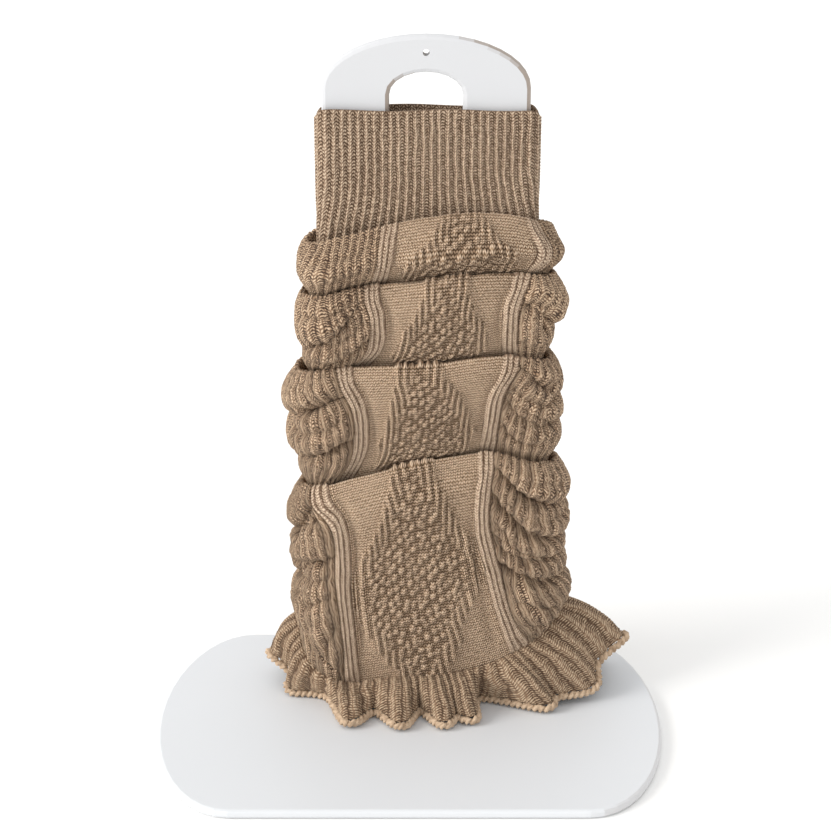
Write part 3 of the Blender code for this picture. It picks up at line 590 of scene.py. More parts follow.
def add_mesh(name, outer, inner, uv, painted_shade, material, around=0):
    """Closed cloth wall as an object. Its painted shade is 0 on ridges and 1 deep in the grooves between
    them, and around is how far the UV map runs once round a ring, or 0 on a cloth that is open at its sides."""
    ring = around > 0
    rows, columns = outer.shape[:2]
    inner_columns = inner.shape[1]
    spans = columns if ring else columns - 1
    inner_spans = inner_columns if ring else inner_columns - 1
    per_inner = spans // inner_spans
    first = rows * columns
    points = np.concatenate([outer.reshape(-1, 3), inner.reshape(-1, 3)]) + (TUBE_X, BOARD_Y, 0.0)
    faces = []
    walls = ((0, spans, columns, False), (first, inner_spans, inner_columns, True))
    for start, count, wide, turned in walls:
        row, left = np.meshgrid(np.arange(rows - 1), np.arange(count), indexing="ij")
        right = (left + 1) % wide
        quads = [row * wide + left, (row + 1) * wide + left, (row + 1) * wide + right, row * wide + right]
        quads = start + np.stack(quads, -1).reshape(-1, 4)
        faces += (quads[:, ::-1] if turned else quads).tolist()
    for row, turned in ((0, False), (rows - 1, True)):
        for k in range(inner_spans):
            rim = [row * columns + (k * per_inner + j) % columns for j in range(per_inner + 1)]
            rim += [first + row * inner_columns + (k + 1) % inner_columns, first + row * inner_columns + k]
            faces.append(rim[::-1] if turned else rim)
    if not ring:
        for column, inner_column, turned in ((0, 0, True), (columns - 1, inner_columns - 1, False)):
            for k in range(rows - 1):
                back = first + k * inner_columns + inner_column
                side = [k * columns + column, (k + 1) * columns + column, back + inner_columns, back]
                faces.append(side[::-1] if turned else side)
    mesh = bpy.data.meshes.new(name)
    mesh.from_pydata((points * MM).tolist(), [], faces)

    places = np.concatenate([uv.reshape(-1, 2), uv[:, ::per_inner].reshape(-1, 2)])
    corner = np.zeros(len(mesh.loops), np.int32)
    mesh.loops.foreach_get("vertex_index", corner)
    at = places[corner]
    if ring:
        starts = np.zeros(len(mesh.polygons), np.int32)
        totals = np.zeros(len(mesh.polygons), np.int32)
        mesh.polygons.foreach_get("loop_start", starts)
        mesh.polygons.foreach_get("loop_total", totals)
        low = np.repeat(np.minimum.reduceat(at[:, 0], starts), totals)
        high = np.repeat(np.maximum.reduceat(at[:, 0], starts), totals)
        at[:, 0] += np.where((high - low > around / 2) & (at[:, 0] - low < around / 2), around, 0)
    mesh.uv_layers.new(name="Yarn").data.foreach_set("uv", at.astype(np.float32).ravel())
    # Painted shade, stored for the material: even on the inside wall, and in the grooves on the outside
    inside = np.full(inner.shape[0] * inner_columns, INSIDE_PAINTED_SHADE)
    deep = mesh.attributes.new("painted_shade", "FLOAT", "POINT")
    deep.data.foreach_set("value", np.concatenate([np.clip(painted_shade, 0, 1).ravel(), inside]))
    mesh.shade_smooth()
    mesh.materials.append(material)
    return add_object(name, mesh)


def add_wall(name, middle, normal, lift, every, uv, painted_shade, material, around=0):
    """Cloth wall about its middle, with its outside raised by lift. Its plain inside has one point for as
    many outside as every says."""
    outer = middle + normal * (WALL / 2 + lift)[:, :, None]
    inner = (middle - normal * WALL / 2)[:, ::every]
    return add_mesh(name, outer, inner, uv, painted_shade, material, around)


def hex_colour(code):
    """An sRGB hex colour as linear red, green and blue."""
    parts = [int(code[k : k + 2], 16) / 255 for k in (1, 3, 5)]
    return [p / 12.92 if p <= 0.04045 else ((p + 0.055) / 1.055) ** 2.4 for p in parts]


def add_node(tree, kind, inputs=None, **settings):
    """A node with its settings. inputs gives each input socket a value or the output it is linked to."""
    node = tree.nodes.new(kind)
    for key, value in settings.items():
        setattr(node, key, value)
    for target, value in (inputs or {}).items():
        if isinstance(value, bpy.types.NodeSocket):
            tree.links.new(value, node.inputs[target])
        else:
            node.inputs[target].default_value = value
    return node


def new_material(name, roughness, specular):
    """A material, its node tree and its main shader."""
    material = bpy.data.materials.new(name)
    material.use_nodes = True
    shader = material.node_tree.nodes["Principled BSDF"]
    shader.inputs["Roughness"].default_value = roughness
    shader.inputs["Specular IOR Level"].default_value = specular
    return material, material.node_tree, shader


def knit_material(name, column, light, middle, dark):
    """Brushed wool blend yarn, knitted: matt, with V stitches, fine fibres and a pale bloom at the rims.

    column is the share of a stitch that the knit column takes, 1 for plain knit and less for rib knit, which
    leaves the rest to purl bumps. The eye sees short slanting strokes of lit yarn with dark gaps between
    them, and yarn spun unevenly.
    """
    material, tree, shader = new_material(name, 0.95, 0.15)
    coordinates = add_node(tree, "ShaderNodeTexCoord").outputs["Object"]
    place = add_node(tree, "ShaderNodeUVMap", uv_map="Yarn")
    drift = add_node(tree, "ShaderNodeTexNoise", {"Vector": coordinates, "Scale": 260.0, "Detail": 1.0})
    drifted = {0: drift.outputs["Color"], 1: (0.28, 0.5, 0.0), 2: place.outputs["UV"]}
    bend = add_node(tree, "ShaderNodeVectorMath", drifted, operation="MULTIPLY_ADD")
    parts = add_node(tree, "ShaderNodeSeparateXYZ", {0: bend.outputs["Vector"]})

    # Distance from the knit column's middle, 1 at its rim, then the strokes along its slanting legs and the
    # light on each leg. A row is one step, with the steps or values that it takes
    steps = {"across": parts.outputs["X"], "down": parts.outputs["Y"]}
    for step, operation, *taken in (
        ("within", "FRACT", "across"),
        ("centred", "SUBTRACT", "within", 0.5),
        ("away", "ABSOLUTE", "centred"),
        ("rim", "MULTIPLY", "away", 2 / column),
        ("slant", "MULTIPLY_ADD", "rim", 0.7, "down"),
        ("turn", "MULTIPLY", "slant", 2 * math.pi),
        ("wave", "COSINE", "turn"),
        ("arch", "MULTIPLY", "rim", math.pi),
        ("bent", "SINE", "arch"),
        ("lit", "ABSOLUTE", "bent"),
    ):
        inputs = {k: steps.get(value, value) for k, value in enumerate(taken)}
        steps[step] = add_node(tree, "ShaderNodeMath", inputs, operation=operation).outputs[0]
    stroke = add_node(tree, "ShaderNodeMapRange", {0: steps["wave"], 1: -0.8, 2: 0.5, 3: 0.1, 4: 1.0})
    leg = add_node(tree, "ShaderNodeMapRange", {0: steps["lit"], 1: 0.0, 2: 0.85, 3: 0.1, 4: 1.0})
    both = {0: stroke.outputs[0], 1: leg.outputs[0]}
    stitch = add_node(tree, "ShaderNodeMath", both, operation="MULTIPLY")

    # Fibres, the unevenness of spun yarn, and the softer patches of worn cloth
    fibre = add_node(tree, "ShaderNodeTexNoise", {"Vector": coordinates, "Scale": 2200.0, "Detail": 2.0})
    drawn = {0: place.outputs["UV"], 1: (2.6, 0.75, 1.0)}
    strand = add_node(tree, "ShaderNodeVectorMath", drawn, operation="MULTIPLY")
    cloud = add_node(tree, "ShaderNodeTexNoise", {"Vector": strand.outputs[0], "Scale": 1.0, "Detail": 3.0})
    spun = add_node(tree, "ShaderNodeMapRange", {"Value": cloud.outputs["Fac"], 1: 0.3, 2: 0.7})
    patch = add_node(tree, "ShaderNodeTexNoise", {"Vector": coordinates, "Scale": 34.0, "Detail": 2.0})

    # Painted shade from the cloth's point attribute: the yarn darkens in the grooves between ribs, round the
    # blobs and on the tube's inside
    deep = add_node(tree, "ShaderNodeAttribute", attribute_name="painted_shade").outputs["Fac"]
    shade = 0.0
    for cause, share in (
        (stitch.outputs[0], 0.62),
        (spun.outputs[0], 0.42),
        (patch.outputs["Fac"], 0.22),
        (deep, -0.4),
    ):
        terms = {0: cause, 1: share, 2: shade}
        shade = add_node(tree, "ShaderNodeMath", terms, operation="MULTIPLY_ADD").outputs[0]
    tone = add_node(tree, "ShaderNodeValToRGB", {"Fac": shade})
    ramp = tone.color_ramp
    ramp.elements[0].position = 0.1
    ramp.elements[0].color = (*hex_colour(dark), 1)
    ramp.elements[1].position = 0.8
    ramp.elements[1].color = (*hex_colour(light), 1)
    ramp.elements.new(0.45).color = (*hex_colour(middle), 1)
    tree.links.new(tone.outputs["Color"], shader.inputs["Base Color"])

    raised = {0: fibre.outputs["Fac"], 1: 0.45, 2: stitch.outputs[0]}
    relief = add_node(tree, "ShaderNodeMath", raised, operation="MULTIPLY_ADD")
    height = {"Height": relief.outputs[0], "Strength": 1.0, "Distance": 0.0006}
    bump = add_node(tree, "ShaderNodeBump", height)
    tree.links.new(bump.outputs["Normal"], shader.inputs["Normal"])
    shader.inputs["Sheen Weight"].default_value = 0.25
    shader.inputs["Sheen Roughness"].default_value = 0.7
    shader.inputs["Sheen Tint"].default_value = (*hex_colour("#E8D6BF"), 1)
    return material


def sheet_material(name, face_tints_and_rim_shade):
    """White acrylic sheet, sawn and satin finished: an even pale surface, with painted shade in taupe on the
    rims that turn to the right, away from the window light.
    """
    material, tree, shader = new_material(name, 0.45, 0.4)
    coordinates = add_node(tree, "ShaderNodeTexCoord").outputs["Object"]
    cloud = add_node(tree, "ShaderNodeTexNoise", {"Vector": coordinates, "Scale": 9.0, "Detail": 2.0})
    tint = add_node(tree, "ShaderNodeMix", {"Factor": cloud.outputs["Fac"]}, data_type="RGBA")
    tint.inputs[6].default_value = (*hex_colour(face_tints_and_rim_shade[0]), 1)
    tint.inputs[7].default_value = (*hex_colour(face_tints_and_rim_shade[1]), 1)
    surface = add_node(tree, "ShaderNodeNewGeometry")
    facing = add_node(tree, "ShaderNodeSeparateXYZ", {0: surface.outputs["Normal"]})
    # Painted shade: rims whose normals point right, away from the window light, turn taupe
    rim = add_node(tree, "ShaderNodeMapRange", {"Value": facing.outputs["X"], 1: 0.12, 2: 0.3})
    edge = add_node(tree, "ShaderNodeMix", {"Factor": rim.outputs[0], 6: tint.outputs[2]}, data_type="RGBA")
    edge.inputs[7].default_value = (*hex_colour(face_tints_and_rim_shade[2]), 1)
    tree.links.new(edge.outputs[2], shader.inputs["Base Color"])
    grain = add_node(tree, "ShaderNodeTexNoise", {"Vector": coordinates, "Scale": 800.0, "Detail": 1.0})
    fine = {"Height": grain.outputs["Fac"], "Strength": 0.05, "Distance": 0.0001}
    bump = add_node(tree, "ShaderNodeBump", fine)
    tree.links.new(bump.outputs["Normal"], shader.inputs["Normal"])
    return material


def make_cuff(material):
    """Rib cuff: 58 narrow knit columns that wander a little and flare at the foot."""
    columns = CUFF_RIBS * CUFF_POINTS
    fine = np.linspace(0, ROUND, 20 * columns + 1)
    x, y, away_x, away_y = core_line(fine)
    steps = np.hypot(np.diff(x + away_x * CUFF_DEPTH), np.diff(y + away_y * CUFF_DEPTH))
    length = np.concatenate([[0], np.cumsum(steps)])
    place = np.arange(columns) / columns
    rib_place = place * CUFF_RIBS
    rib = np.floor(rib_place).astype(int)
    wander = wandering("cuff", 11, CUFF_ROWS, CUFF_RIBS)
    outer = []
    inner = []
    relief = []
    across_rib = []
    for k, w in enumerate(np.linspace(0, 1, CUFF_ROWS)):
        flare = CUFF_FLARE * np.sin(2 * math.pi * place) * ease(CUFF_FLARE_START, 1.0, w) * w
        s = np.interp((place * length[-1] + flare) % length[-1], length, fine)
        x, y, away_x, away_y = core_line(s)
        sway = CUFF_SWAY * np.sin(2 * math.pi * place * CUFF_SWAYS + 0.5)
        top = CUFF_TOP + sway - CUFF_DROP * away_x**4
        height = top + (line_height("roll", s) - CUFF_TUCK - top) * w
        across = rib_place - rib - 0.5 - wander[k, rib]
        across_rib.append(across + rib + 0.5)
        along = (CUFF_TOP - height) / CUFF_COURSE + RIB_PHASE * rib
        relief.append(rib_relief(across, along, CUFF_RIDGE))
        raised = CUFF_RIB_HEIGHT * relief[-1] * rib_ends(w, 0.02, 0.97)
        for points, depth in (
            (outer, CUFF_DEPTH + CUFF_WALL / 2 - CUFF_SINK + raised),
            (inner, CUFF_DEPTH - CUFF_WALL / 2),
        ):
            points.append(np.stack([x + away_x * depth, y + away_y * depth, height], -1))
    outer = np.array(outer)
    inner = np.array(inner)[:, ::CUFF_POINTS]
    across_rib = np.array(across_rib)
    down = np.linspace(0, CUFF_SPAN / CUFF_COURSE, CUFF_ROWS)[:, None] + 0 * across_rib
    uv = np.stack([across_rib, down], -1)
    # Painted shade in the grooves between the ribs
    painted_shade = 1 - ease(0.0, 0.9, np.array(relief))
    return add_mesh("rib_cuff", outer, inner, uv, painted_shade, material, CUFF_RIBS), cloth_size(outer, True)


def panel_grid(left, right, rows, columns):
    """Places s across a panel from its left seam to its right seam, for each row."""
    return np.array([np.linspace(left(v), right(v), columns + 1) for v in rows])


def diamond_relief(across, width, rows, down, seed):
    """Raised knit of the diamonds, 0 to 1: upright ribs at their borders and staggered blobs inside them.

    Returns how far each point is inside a diamond, and the relief there."""
    rng = np.random.default_rng(seed)
    (ragged, ragged_rows), (drift, drift_rows) = WANDERS["border"], WANDERS["blobs"]
    at = [PLACES.index(place) for place, _, _ in DIAMONDS]
    middle = np.interp(rows, at, [row[1] for row in DIAMONDS])[:, None]
    half = np.interp(rows, at, [row[2] for row in DIAMONDS])[:, None]
    away = half - np.abs(across - middle) + ragged * uneven(rng, len(rows), 1, ragged_rows)
    inside = ease(-DIAMOND_SOFT / 2, DIAMOND_SOFT / 2, away)
    core = ease(*(DIAMOND_BORDER * share for share in DIAMOND_BORDER_FADE), away)
    u = (across - 0.5) * width / DIAMOND_RIB + drift * uneven(rng, len(rows), 1, drift_rows)
    column = np.round(u)
    upright = rib_relief(u - column, down[:, None] / COURSE + RIB_PHASE * column, DIAMOND_RIDGE)
    blobs = np.zeros_like(u)
    shift = rng.uniform(-BLOB_JITTER, BLOB_JITTER, (64, 256, 3))
    for step in (-1, 0, 1):
        near = column + step
        drop = down[:, None] / DIAMOND_DROP + 0.5 * (near % 2)
        link = np.round(drop)
        jitter = shift[near.astype(int) % 64, link.astype(int) % 256]
        beside = u - near + jitter[..., 0]
        below = drop - link + jitter[..., 1] + BLOB_SLANT * beside
        bump = 1 - (beside / BLOB_WIDE) ** 2 - (below / BLOB_HIGH) ** 2
        blobs = np.maximum(blobs, np.sqrt(np.clip(bump, 0, 1)) * (BLOB_HEIGHT + jitter[..., 2]))
    return inside, (1 - core) * upright + core * blobs


def make_panel(name, left, right, rows, down, seed, material):
    """Front or back panel: plain knit with the raised diamonds."""
    widest = max(right(v) - left(v) for v in rows[::INSIDE_EVERY])
    columns = INSIDE_EVERY * round(widest / PANEL_STEP / INSIDE_EVERY)
    s = panel_grid(left, right, rows, columns)
    width = float(np.mean(s[:, -1] - s[:, 0]))
    middle, normal = tube_grid(s, rows, "panels")
    across = (s - s[:, :1]) / (s[:, -1:] - s[:, :1])
    inside, relief = diamond_relief(across, width, rows, down, seed)
    shown = ease(0.0, 0.3, np.array([gather_share(v) for v in rows]))[:, None]
    full = DIAMOND_FOLDED + (1 - DIAMOND_FOLDED) * shown
    lift = inside * (DIAMOND_RAISED + DIAMOND_RELIEF * relief) * full
    # Painted shade in the diamonds, lighter on the blobs' tops as a painted highlight, over an even
    # darkening of the plain knit
    painted_shade = PANEL_HOLLOW + inside * (DIAMOND_PAINTED_SHADE - BLOB_LIT * relief)
    uv = np.stack([across * width / WALE, down[:, None] / COURSE + 0 * across], -1)
    wall = add_wall(name, middle, normal, lift, INSIDE_EVERY, uv, painted_shade, material)
    return wall, cloth_size(middle, False)


def length_down(middle):
    """How far down the cloth each point of a grid lies, in mm."""
    steps = np.linalg.norm(np.diff(middle, axis=0), axis=2)
    return np.concatenate([np.zeros((1, middle.shape[1])), np.cumsum(steps, axis=0)])


def knit_ribs(what, seed, across, ribs, along, ridge):
    """Ribs side by side that wander a little: where among them each point lies, and the relief there."""
    rib = np.minimum(np.floor(across), ribs - 1).astype(int)
    wander = wandering(what, seed, len(across), ribs)
    place = across - np.take_along_axis(wander, rib, axis=1)
    return place, rib_relief(place - rib - 0.5, along + RIB_PHASE * rib, ridge)


def make_side(name, side, left, right, rows, seed, material):
    """Gathered side panel in rib, with lobes that sag between the bands."""
    counted = PLACES.index("third lip")
    ribs = round((right(counted) - left(counted)) / SIDE_RIB)
    s = panel_grid(left, right, rows, SIDE_POINTS * ribs)
    middle, normal = tube_grid(s, rows, side)
    along = length_down(middle) / COURSE
    across = (s - s[:, :1]) / (s[:, -1:] - s[:, :1]) * ribs
    place, relief = knit_ribs("side", seed, across, ribs, along, SIDE_RIDGE)
    uv = np.stack([place, along], -1)
    # Painted shade in the grooves between the ribs
    painted_shade = 1 - ease(0.0, 0.9, relief)
    wall = add_wall(name, middle, normal, SIDE_RIB_HEIGHT * relief, SIDE_POINTS, uv, painted_shade, material)
    return wall, cloth_size(middle, False)


def make_band(name, middle_line, rows, down, seed, material):
    """Raised band of three smooth knit ribs."""
    half = BAND_WIDTH / 2
    columns = INSIDE_EVERY * BAND_RIBS
    s = panel_grid(lambda v: middle_line(v) - half, lambda v: middle_line(v) + half, rows, columns)
    middle, normal = tube_grid(s, rows)
    shown = np.array([min(BAND_FADE * gather_share(v), 1) for v in rows])[:, None]
    across = np.linspace(0, BAND_RIBS, columns + 1)[None, :] + 0 * down[:, None]
    along = down[:, None] / COURSE
    place, relief = knit_ribs("band", seed, across, BAND_RIBS, along, BAND_RIDGE)
    crown = 1 - (2 * across / BAND_RIBS - 1) ** 4
    lift = shown * (BAND_RAISED * crown + BAND_RIB_HEIGHT * relief)
    lift = lift + (1 - shown) * BAND_FOLDED_RELIEF * relief
    uv = np.stack([place, along + 0 * place], -1)
    # Painted shade in the grooves between the ribs
    painted_shade = 1 - ease(0.1, 0.85, relief)
    wall = add_wall(name, middle, normal, lift, INSIDE_EVERY, uv, painted_shade, material)
    return wall, cloth_size(middle + normal * (shown * BAND_RAISED * crown)[:, :, None], False)


def ruffle_rings():
    """Places round the seam, and the hem's points that go with them, through every wave and trough."""
    count = len(WAVES)
    peaks = np.array([row[3:6] for row in WAVES])
    starts = np.array([row[1] for row in WAVES] + [WAVES[0][1] + ROUND])
    knots = []
    for k, row in enumerate(WAVES):
        between = (peaks[k] + peaks[(k + 1) % count]) / 2
        x, y, away_x, away_y = core_line((starts[k] + starts[k + 1]) / 2)
        home = np.array([x + away_x * PROFILE[-1][5], y + away_y * PROFILE[-1][5], between[2]])
        knots += [peaks[k], between + unit(home - between) * row[6]]
    knots = np.array(knots)
    places = []
    hem = []
    steps = RIBS_PER_WAVE * RUFFLE_POINTS // 2
    for k in range(2 * count):
        near = [knots[(k + j) % (2 * count)] for j in (-1, 0, 1, 2)]
        wave = k // 2
        for step in range(steps):
            t = step / steps
            hem.append(blend_four(*near, t))
            places.append(starts[wave] + (starts[wave + 1] - starts[wave]) * (k % 2 + t) / 2)
    return np.array(places), np.array(hem)


def make_ruffle(material):
    """Ribbed ruffle: four ribs to a wave, spreading from the seam to the hem."""
    places, hem = ruffle_rings()
    along = unit(tube_middle(places + 1, LAST_ROW) - tube_middle(places - 1, LAST_ROW))
    down = np.array([0.0, 0.0, -1.0])
    seam = tube_middle(places, LAST_ROW) + RUFFLE_DROP * unit(down - along * (along @ down)[:, None])
    _, _, away_x, away_y = core_line(places)
    up = np.full_like(away_x, RUFFLE_BOW_UP)
    bow = np.stack([RUFFLE_BOW_OUT * away_x, RUFFLE_BOW_OUT * away_y, up], -1)
    share = np.linspace(0, 1, RUFFLE_ROWS)
    middle = np.array([seam + (hem - seam) * w + bow * math.sin(math.pi * w) for w in share])
    normal = surface_normals(middle, True)
    columns = middle.shape[1]
    ribs = columns // RUFFLE_POINTS
    rib_place = np.arange(columns) / RUFFLE_POINTS
    rib = np.floor(rib_place).astype(int)
    place = rib_place[None, :] - wandering("ruffle", 31, RUFFLE_ROWS, ribs)[:, rib]
    stitches = length_down(middle) / COURSE
    relief = rib_relief(place - rib - 0.5, stitches, RUFFLE_RIDGE)
    lift = rib_ends(share, 0.12, 0.94)[:, None] * RUFFLE_RIB_HEIGHT * relief
    uv = np.stack([place, stitches], -1)
    # Painted shade in the grooves between the ribs
    painted_shade = 1 - ease(0.0, 0.9, relief)
    wall = add_wall("rib_ruffle", middle, normal, lift, RUFFLE_POINTS, uv, painted_shade, material, ribs)
    return wall, middle, cloth_size(middle, True)


def link_mesh():
    """One chain stitch of the bind-off: a plump bent loop of yarn, 1 unit long and 1 unit thick."""
    sides, rings = 6, 6
    sway, hop, reach, plump, blunt = 0.25, 0.22, 1.3, 0.45, 0.08
    points = []
    for k in range(rings):
        t = k / (rings - 1)
        bend = 2 * math.pi * t
        middle = np.array([sway * math.sin(bend), hop * math.cos(bend), reach * (t - 0.5)])
        radius = plump * math.sin(math.pi * min(max(t, blunt), 1 - blunt)) ** 0.5
        for j in range(sides):
            turn = 2 * math.pi * j / sides
            points.append(middle + radius * np.array([math.cos(turn), math.sin(turn), 0.0]))
    faces = []
    for k in range(rings - 1):
        for j in range(sides):
            a, b = k * sides + j, k * sides + (j + 1) % sides
            faces.append((a, b, b + sides, a + sides))
    faces.append(tuple(range(sides))[::-1])
    faces.append(tuple((rings - 1) * sides + j for j in range(sides)))
    mesh = bpy.data.meshes.new("bind_off_stitch")
    mesh.from_pydata([tuple(p) for p in points], [], faces)
    mesh.shade_smooth()
    return add_object("bind_off_stitch", mesh)


def chain_tree(stitch, material):
    """Geometry nodes that lay the chain stitches of the bind-off along a closed line."""
    tree = bpy.data.node_groups.new("bind_off_chain", "GeometryNodeTree")
    for name, way, kind in (
        ("Line", "INPUT", "Geometry"),
        ("Stitch length", "INPUT", "Float"),
        ("Cord radius", "INPUT", "Float"),
        ("Chain", "OUTPUT", "Geometry"),
    ):
        tree.interface.new_socket(name=name, in_out=way, socket_type="NodeSocket" + kind)
    given = add_node(tree, "NodeGroupInput").outputs
    line = {"Curve": given["Line"], "Length": given["Stitch length"]}
    resample = add_node(tree, "GeometryNodeResampleCurve", line, mode="LENGTH")
    along = {"Vector": add_node(tree, "GeometryNodeInputTangent").outputs["Tangent"]}
    turned = add_node(tree, "FunctionNodeAlignRotationToVector", along, axis="Z")
    source = add_node(tree, "GeometryNodeObjectInfo", {"Object": stitch})
    index = add_node(tree, "GeometryNodeInputIndex")
    odd = add_node(tree, "ShaderNodeMath", {0: index.outputs[0], 1: 3.0}, operation="MODULO")
    spin = add_node(tree, "ShaderNodeMath", {0: odd.outputs[0], 1: 1.1}, operation="MULTIPLY")
    around = add_node(tree, "ShaderNodeCombineXYZ", {"Z": spin.outputs[0]})
    turns = {"Rotation": turned.outputs["Rotation"], "Rotate By": around.outputs["Vector"]}
    rotated = add_node(tree, "FunctionNodeRotateRotation", turns, rotation_space="LOCAL")
    thick = add_node(tree, "ShaderNodeMath", {0: given["Cord radius"], 1: 1.9}, operation="MULTIPLY")
    long = add_node(tree, "ShaderNodeMath", {0: given["Stitch length"], 1: 2.1}, operation="MULTIPLY")
    sizes = {"X": thick.outputs[0], "Y": thick.outputs[0], "Z": long.outputs[0]}
    stitches = {
        "Points": resample.outputs["Curve"],
        "Instance": source.outputs["Geometry"],
        "Rotation": rotated.outputs["Rotation"],
        "Scale": add_node(tree, "ShaderNodeCombineXYZ", sizes).outputs["Vector"],
    }
    laid = add_node(tree, "GeometryNodeInstanceOnPoints", stitches)
    real = add_node(tree, "GeometryNodeRealizeInstances", {"Geometry": laid.outputs["Instances"]})
    dressed = {"Geometry": real.outputs["Geometry"], "Material": material}
    finish = add_node(tree, "GeometryNodeSetMaterial", dressed)
    add_node(tree, "NodeGroupOutput", {"Chain": finish.outputs["Geometry"]})
    return tree


def make_edge(middle, material):
    """Bind-off chain along the ruffle's hem."""
    along = unit(np.roll(middle[-1], -1, axis=0) - np.roll(middle[-1], 1, axis=0))
    onward = middle[-1] - middle[-4]
    onward = unit(onward - along * (onward * along).sum(axis=1)[:, None])
    centre = middle[-1] + (onward + EDGE_OUT * surface_normals(middle, True)[-1]) * EDGE_RADIUS
    centre[:, 2] = np.maximum(centre[:, 2], BASE_TOP + EDGE_RADIUS + EDGE_CLEAR)
    curve = bpy.data.curves.new("hem_line", "CURVE")
    curve.dimensions = "3D"
    spline = curve.splines.new("POLY")
    chosen = centre[::2] + (TUBE_X, BOARD_Y, 0.0)
    spline.points.add(len(chosen) - 1)
    for point, place in zip(spline.points, chosen * MM):
        point.co = (*place, 1.0)
    spline.use_cyclic_u = True
    guide = add_object("hem_line", curve)
    stitch = link_mesh()
    chain = guide.modifiers.new("Bind-off chain", "NODES")
    chain.node_group = chain_tree(stitch, material)
    sizes = {"Stitch length": EDGE_LINK * MM, "Cord radius": EDGE_RADIUS * MM}
    for socket in chain.node_group.interface.items_tree:
        if socket.name in sizes:
            chain[socket.identifier] = sizes[socket.name]
    bpy.context.view_layer.update()
    mesh = bpy.data.meshes.new_from_object(guide.evaluated_get(bpy.context.evaluated_depsgraph_get()))
    for helper in (guide, stitch):
        bpy.data.objects.remove(helper)
    mesh.name = "bind_off_chain"
    mesh.shade_smooth()
    return add_object("bind_off_chain", mesh)


def add_light(name, place, target, spread, power, colour):
    """Even light that comes from place towards target, in metres, and spreads over some degrees."""
    lamp = bpy.data.lights.new(name, "SUN")
    lamp.angle = math.radians(spread)
    lamp.energy = power
    lamp.color = colour
    thing = add_object(name, lamp)
    thing.location = place
    thing.rotation_euler = (Vector(target) - Vector(place)).to_track_quat("-Z", "Y").to_euler()


def make_stage():
    """Camera, lights and a plain pale floor."""
    camera = bpy.data.cameras.new("camera")
    camera.lens = CAMERA_LENS
    camera.sensor_width = 36.0
    eye = add_object("camera", camera)
    eye.location = CAMERA_PLACE
    eye.rotation_euler = (math.radians(90 - CAMERA_TILT), 0.0, 0.0)
    bpy.context.scene.camera = eye

    mesh = bpy.data.meshes.new("floor")
    reach = 30.0
    corners = [(-reach, -reach, 0), (reach, -reach, 0), (reach, reach, 0), (-reach, reach, 0)]
    mesh.from_pydata(corners, [], [(0, 1, 2, 3)])
    floor = add_object("floor", mesh)
    floor.location.z = -0.0005
    material, _, shader = new_material("studio_floor_paper", 0.9, 0.1)
    shader.inputs["Base Color"].default_value = (*hex_colour("#FBFBFA"), 1)
    mesh.materials.append(material)

    bpy.context.scene.view_settings.view_transform = "Standard"
    world = bpy.data.worlds.new("studio")
    bpy.context.scene.world = world
    world.use_nodes = True
    background = world.node_tree.nodes["Background"]
    background.inputs["Color"].default_value = (*hex_colour("#FFFFFF"), 1)
    background.inputs["Strength"].default_value = 0.96
    target = (0.0, 0.0, 0.18)
    add_light("window light", (-2.5, -1.0, 1.35), target, 30.0, 2.4, hex_colour("#FFFDFA"))


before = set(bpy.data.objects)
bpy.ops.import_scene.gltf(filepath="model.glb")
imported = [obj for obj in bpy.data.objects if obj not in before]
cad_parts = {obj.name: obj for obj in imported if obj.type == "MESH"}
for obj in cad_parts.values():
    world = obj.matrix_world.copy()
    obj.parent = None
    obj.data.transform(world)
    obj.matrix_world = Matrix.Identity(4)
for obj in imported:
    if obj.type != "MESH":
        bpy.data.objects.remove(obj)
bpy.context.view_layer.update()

knit = knit_material("wool_blend_plain_knit", 1.0, "#EDD3B8", "#AB8B6C", "#402A18")
rib_knit = knit_material("wool_blend_rib_knit", 0.56, "#DCC5AB", "#A2866F", "#4E3826")
side_knit = knit_material("wool_blend_side_knit", 0.56, "#DCC0A2", "#92745A", "#37241A")
ruffle_knit = knit_material("wool_blend_ruffle_knit", 0.56, "#C9B094", "#8E7259", "#503A2A")
band_knit = knit_material("wool_blend_band_knit", 0.84, "#DEC7AD", "#AB907A", "#5C4533")
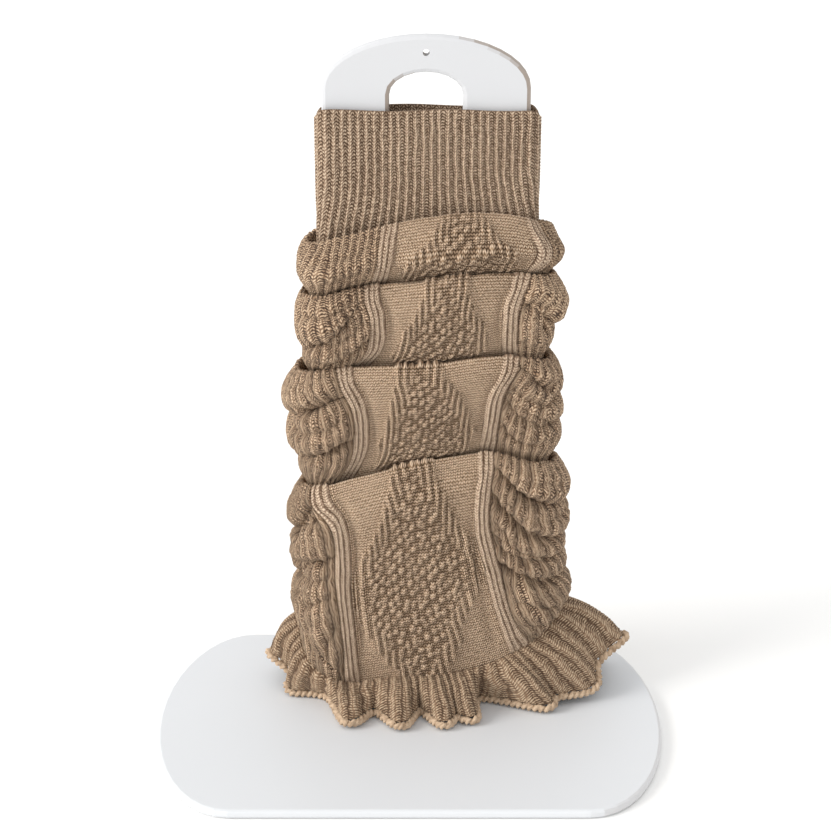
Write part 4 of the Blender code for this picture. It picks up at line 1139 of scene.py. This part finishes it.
edge_knit = knit_material("wool_blend_bind_off", 0.9, "#C9B095", "#A0866D", "#66503E")

rows, down = fine_rows()


def band_edge(band, way, lap=0.0):
    """The line that runs along one edge of a band."""
    return lambda v: band_places(v)[band] + way * (BAND_WIDTH / 2 + SEAM) + lap


pieces = []
cuff, size = make_cuff(rib_knit)
pieces.append((cuff, "cuff", size, "stretched", "stand_board"))
for name, node, seed, left, right in (
    # piece, node, seed of its unevenness, the edges of the bands on its left and right
    ("diamond_front_panel", "front_panel", 21, ("front_left", 1), ("front_right", -1)),
    ("diamond_back_panel", "back_panel", 22, ("back_right", 1), ("back_left", -1)),
):
    panel, size = make_panel(name, band_edge(*left), band_edge(*right), rows, down, seed, knit)
    pieces.append((panel, node, size, "folded", "stand_board"))
for side, seed, left, right in (
    ("right", 41, ("front_right", 1), ("back_right", -1)),
    ("left", 42, ("back_left", 1), ("front_left", -1, ROUND)),
):
    name = "gathered_" + side + "_side"
    gathered, size = make_side(name, side, band_edge(*left), band_edge(*right), rows, seed, side_knit)
    pieces.append((gathered, "side_" + side, size, "gathered", "stand_board"))
for k, band in enumerate(("front_left", "front_right", "back_right", "back_left")):
    strip, size = make_band(
        "rib_band_" + band, lambda v, band=band: band_places(v)[band], rows, down, 51 + k, band_knit
    )
    pieces.append((strip, "band_" + band, size, "folded", "stand_board"))
ruffle, ruffle_middle, size = make_ruffle(ruffle_knit)
chain = make_edge(ruffle_middle, edge_knit)
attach(chain, "root")
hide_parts("ruffle_edge")
pieces.append((ruffle, "ruffle", size, "gathered", "stand_base"))

for thing, node, (width, length), held, under in pieces:
    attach(thing, "root")
    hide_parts(node)

# Two tints of the sheet, then the taupe of the painted shade on its right-turned rims
for node, face_tints_and_rim_shade in (
    ("stand_board", ("#CBCCCF", "#CFD0D2", "#A0948A")),
    ("stand_base", ("#D6D9DC", "#DADCDF", "#D2D2D3")),
):
    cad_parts[node].data.materials.clear()
    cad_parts[node].data.materials.append(sheet_material("white_acrylic_" + node, face_tints_and_rim_shade))

make_stage()
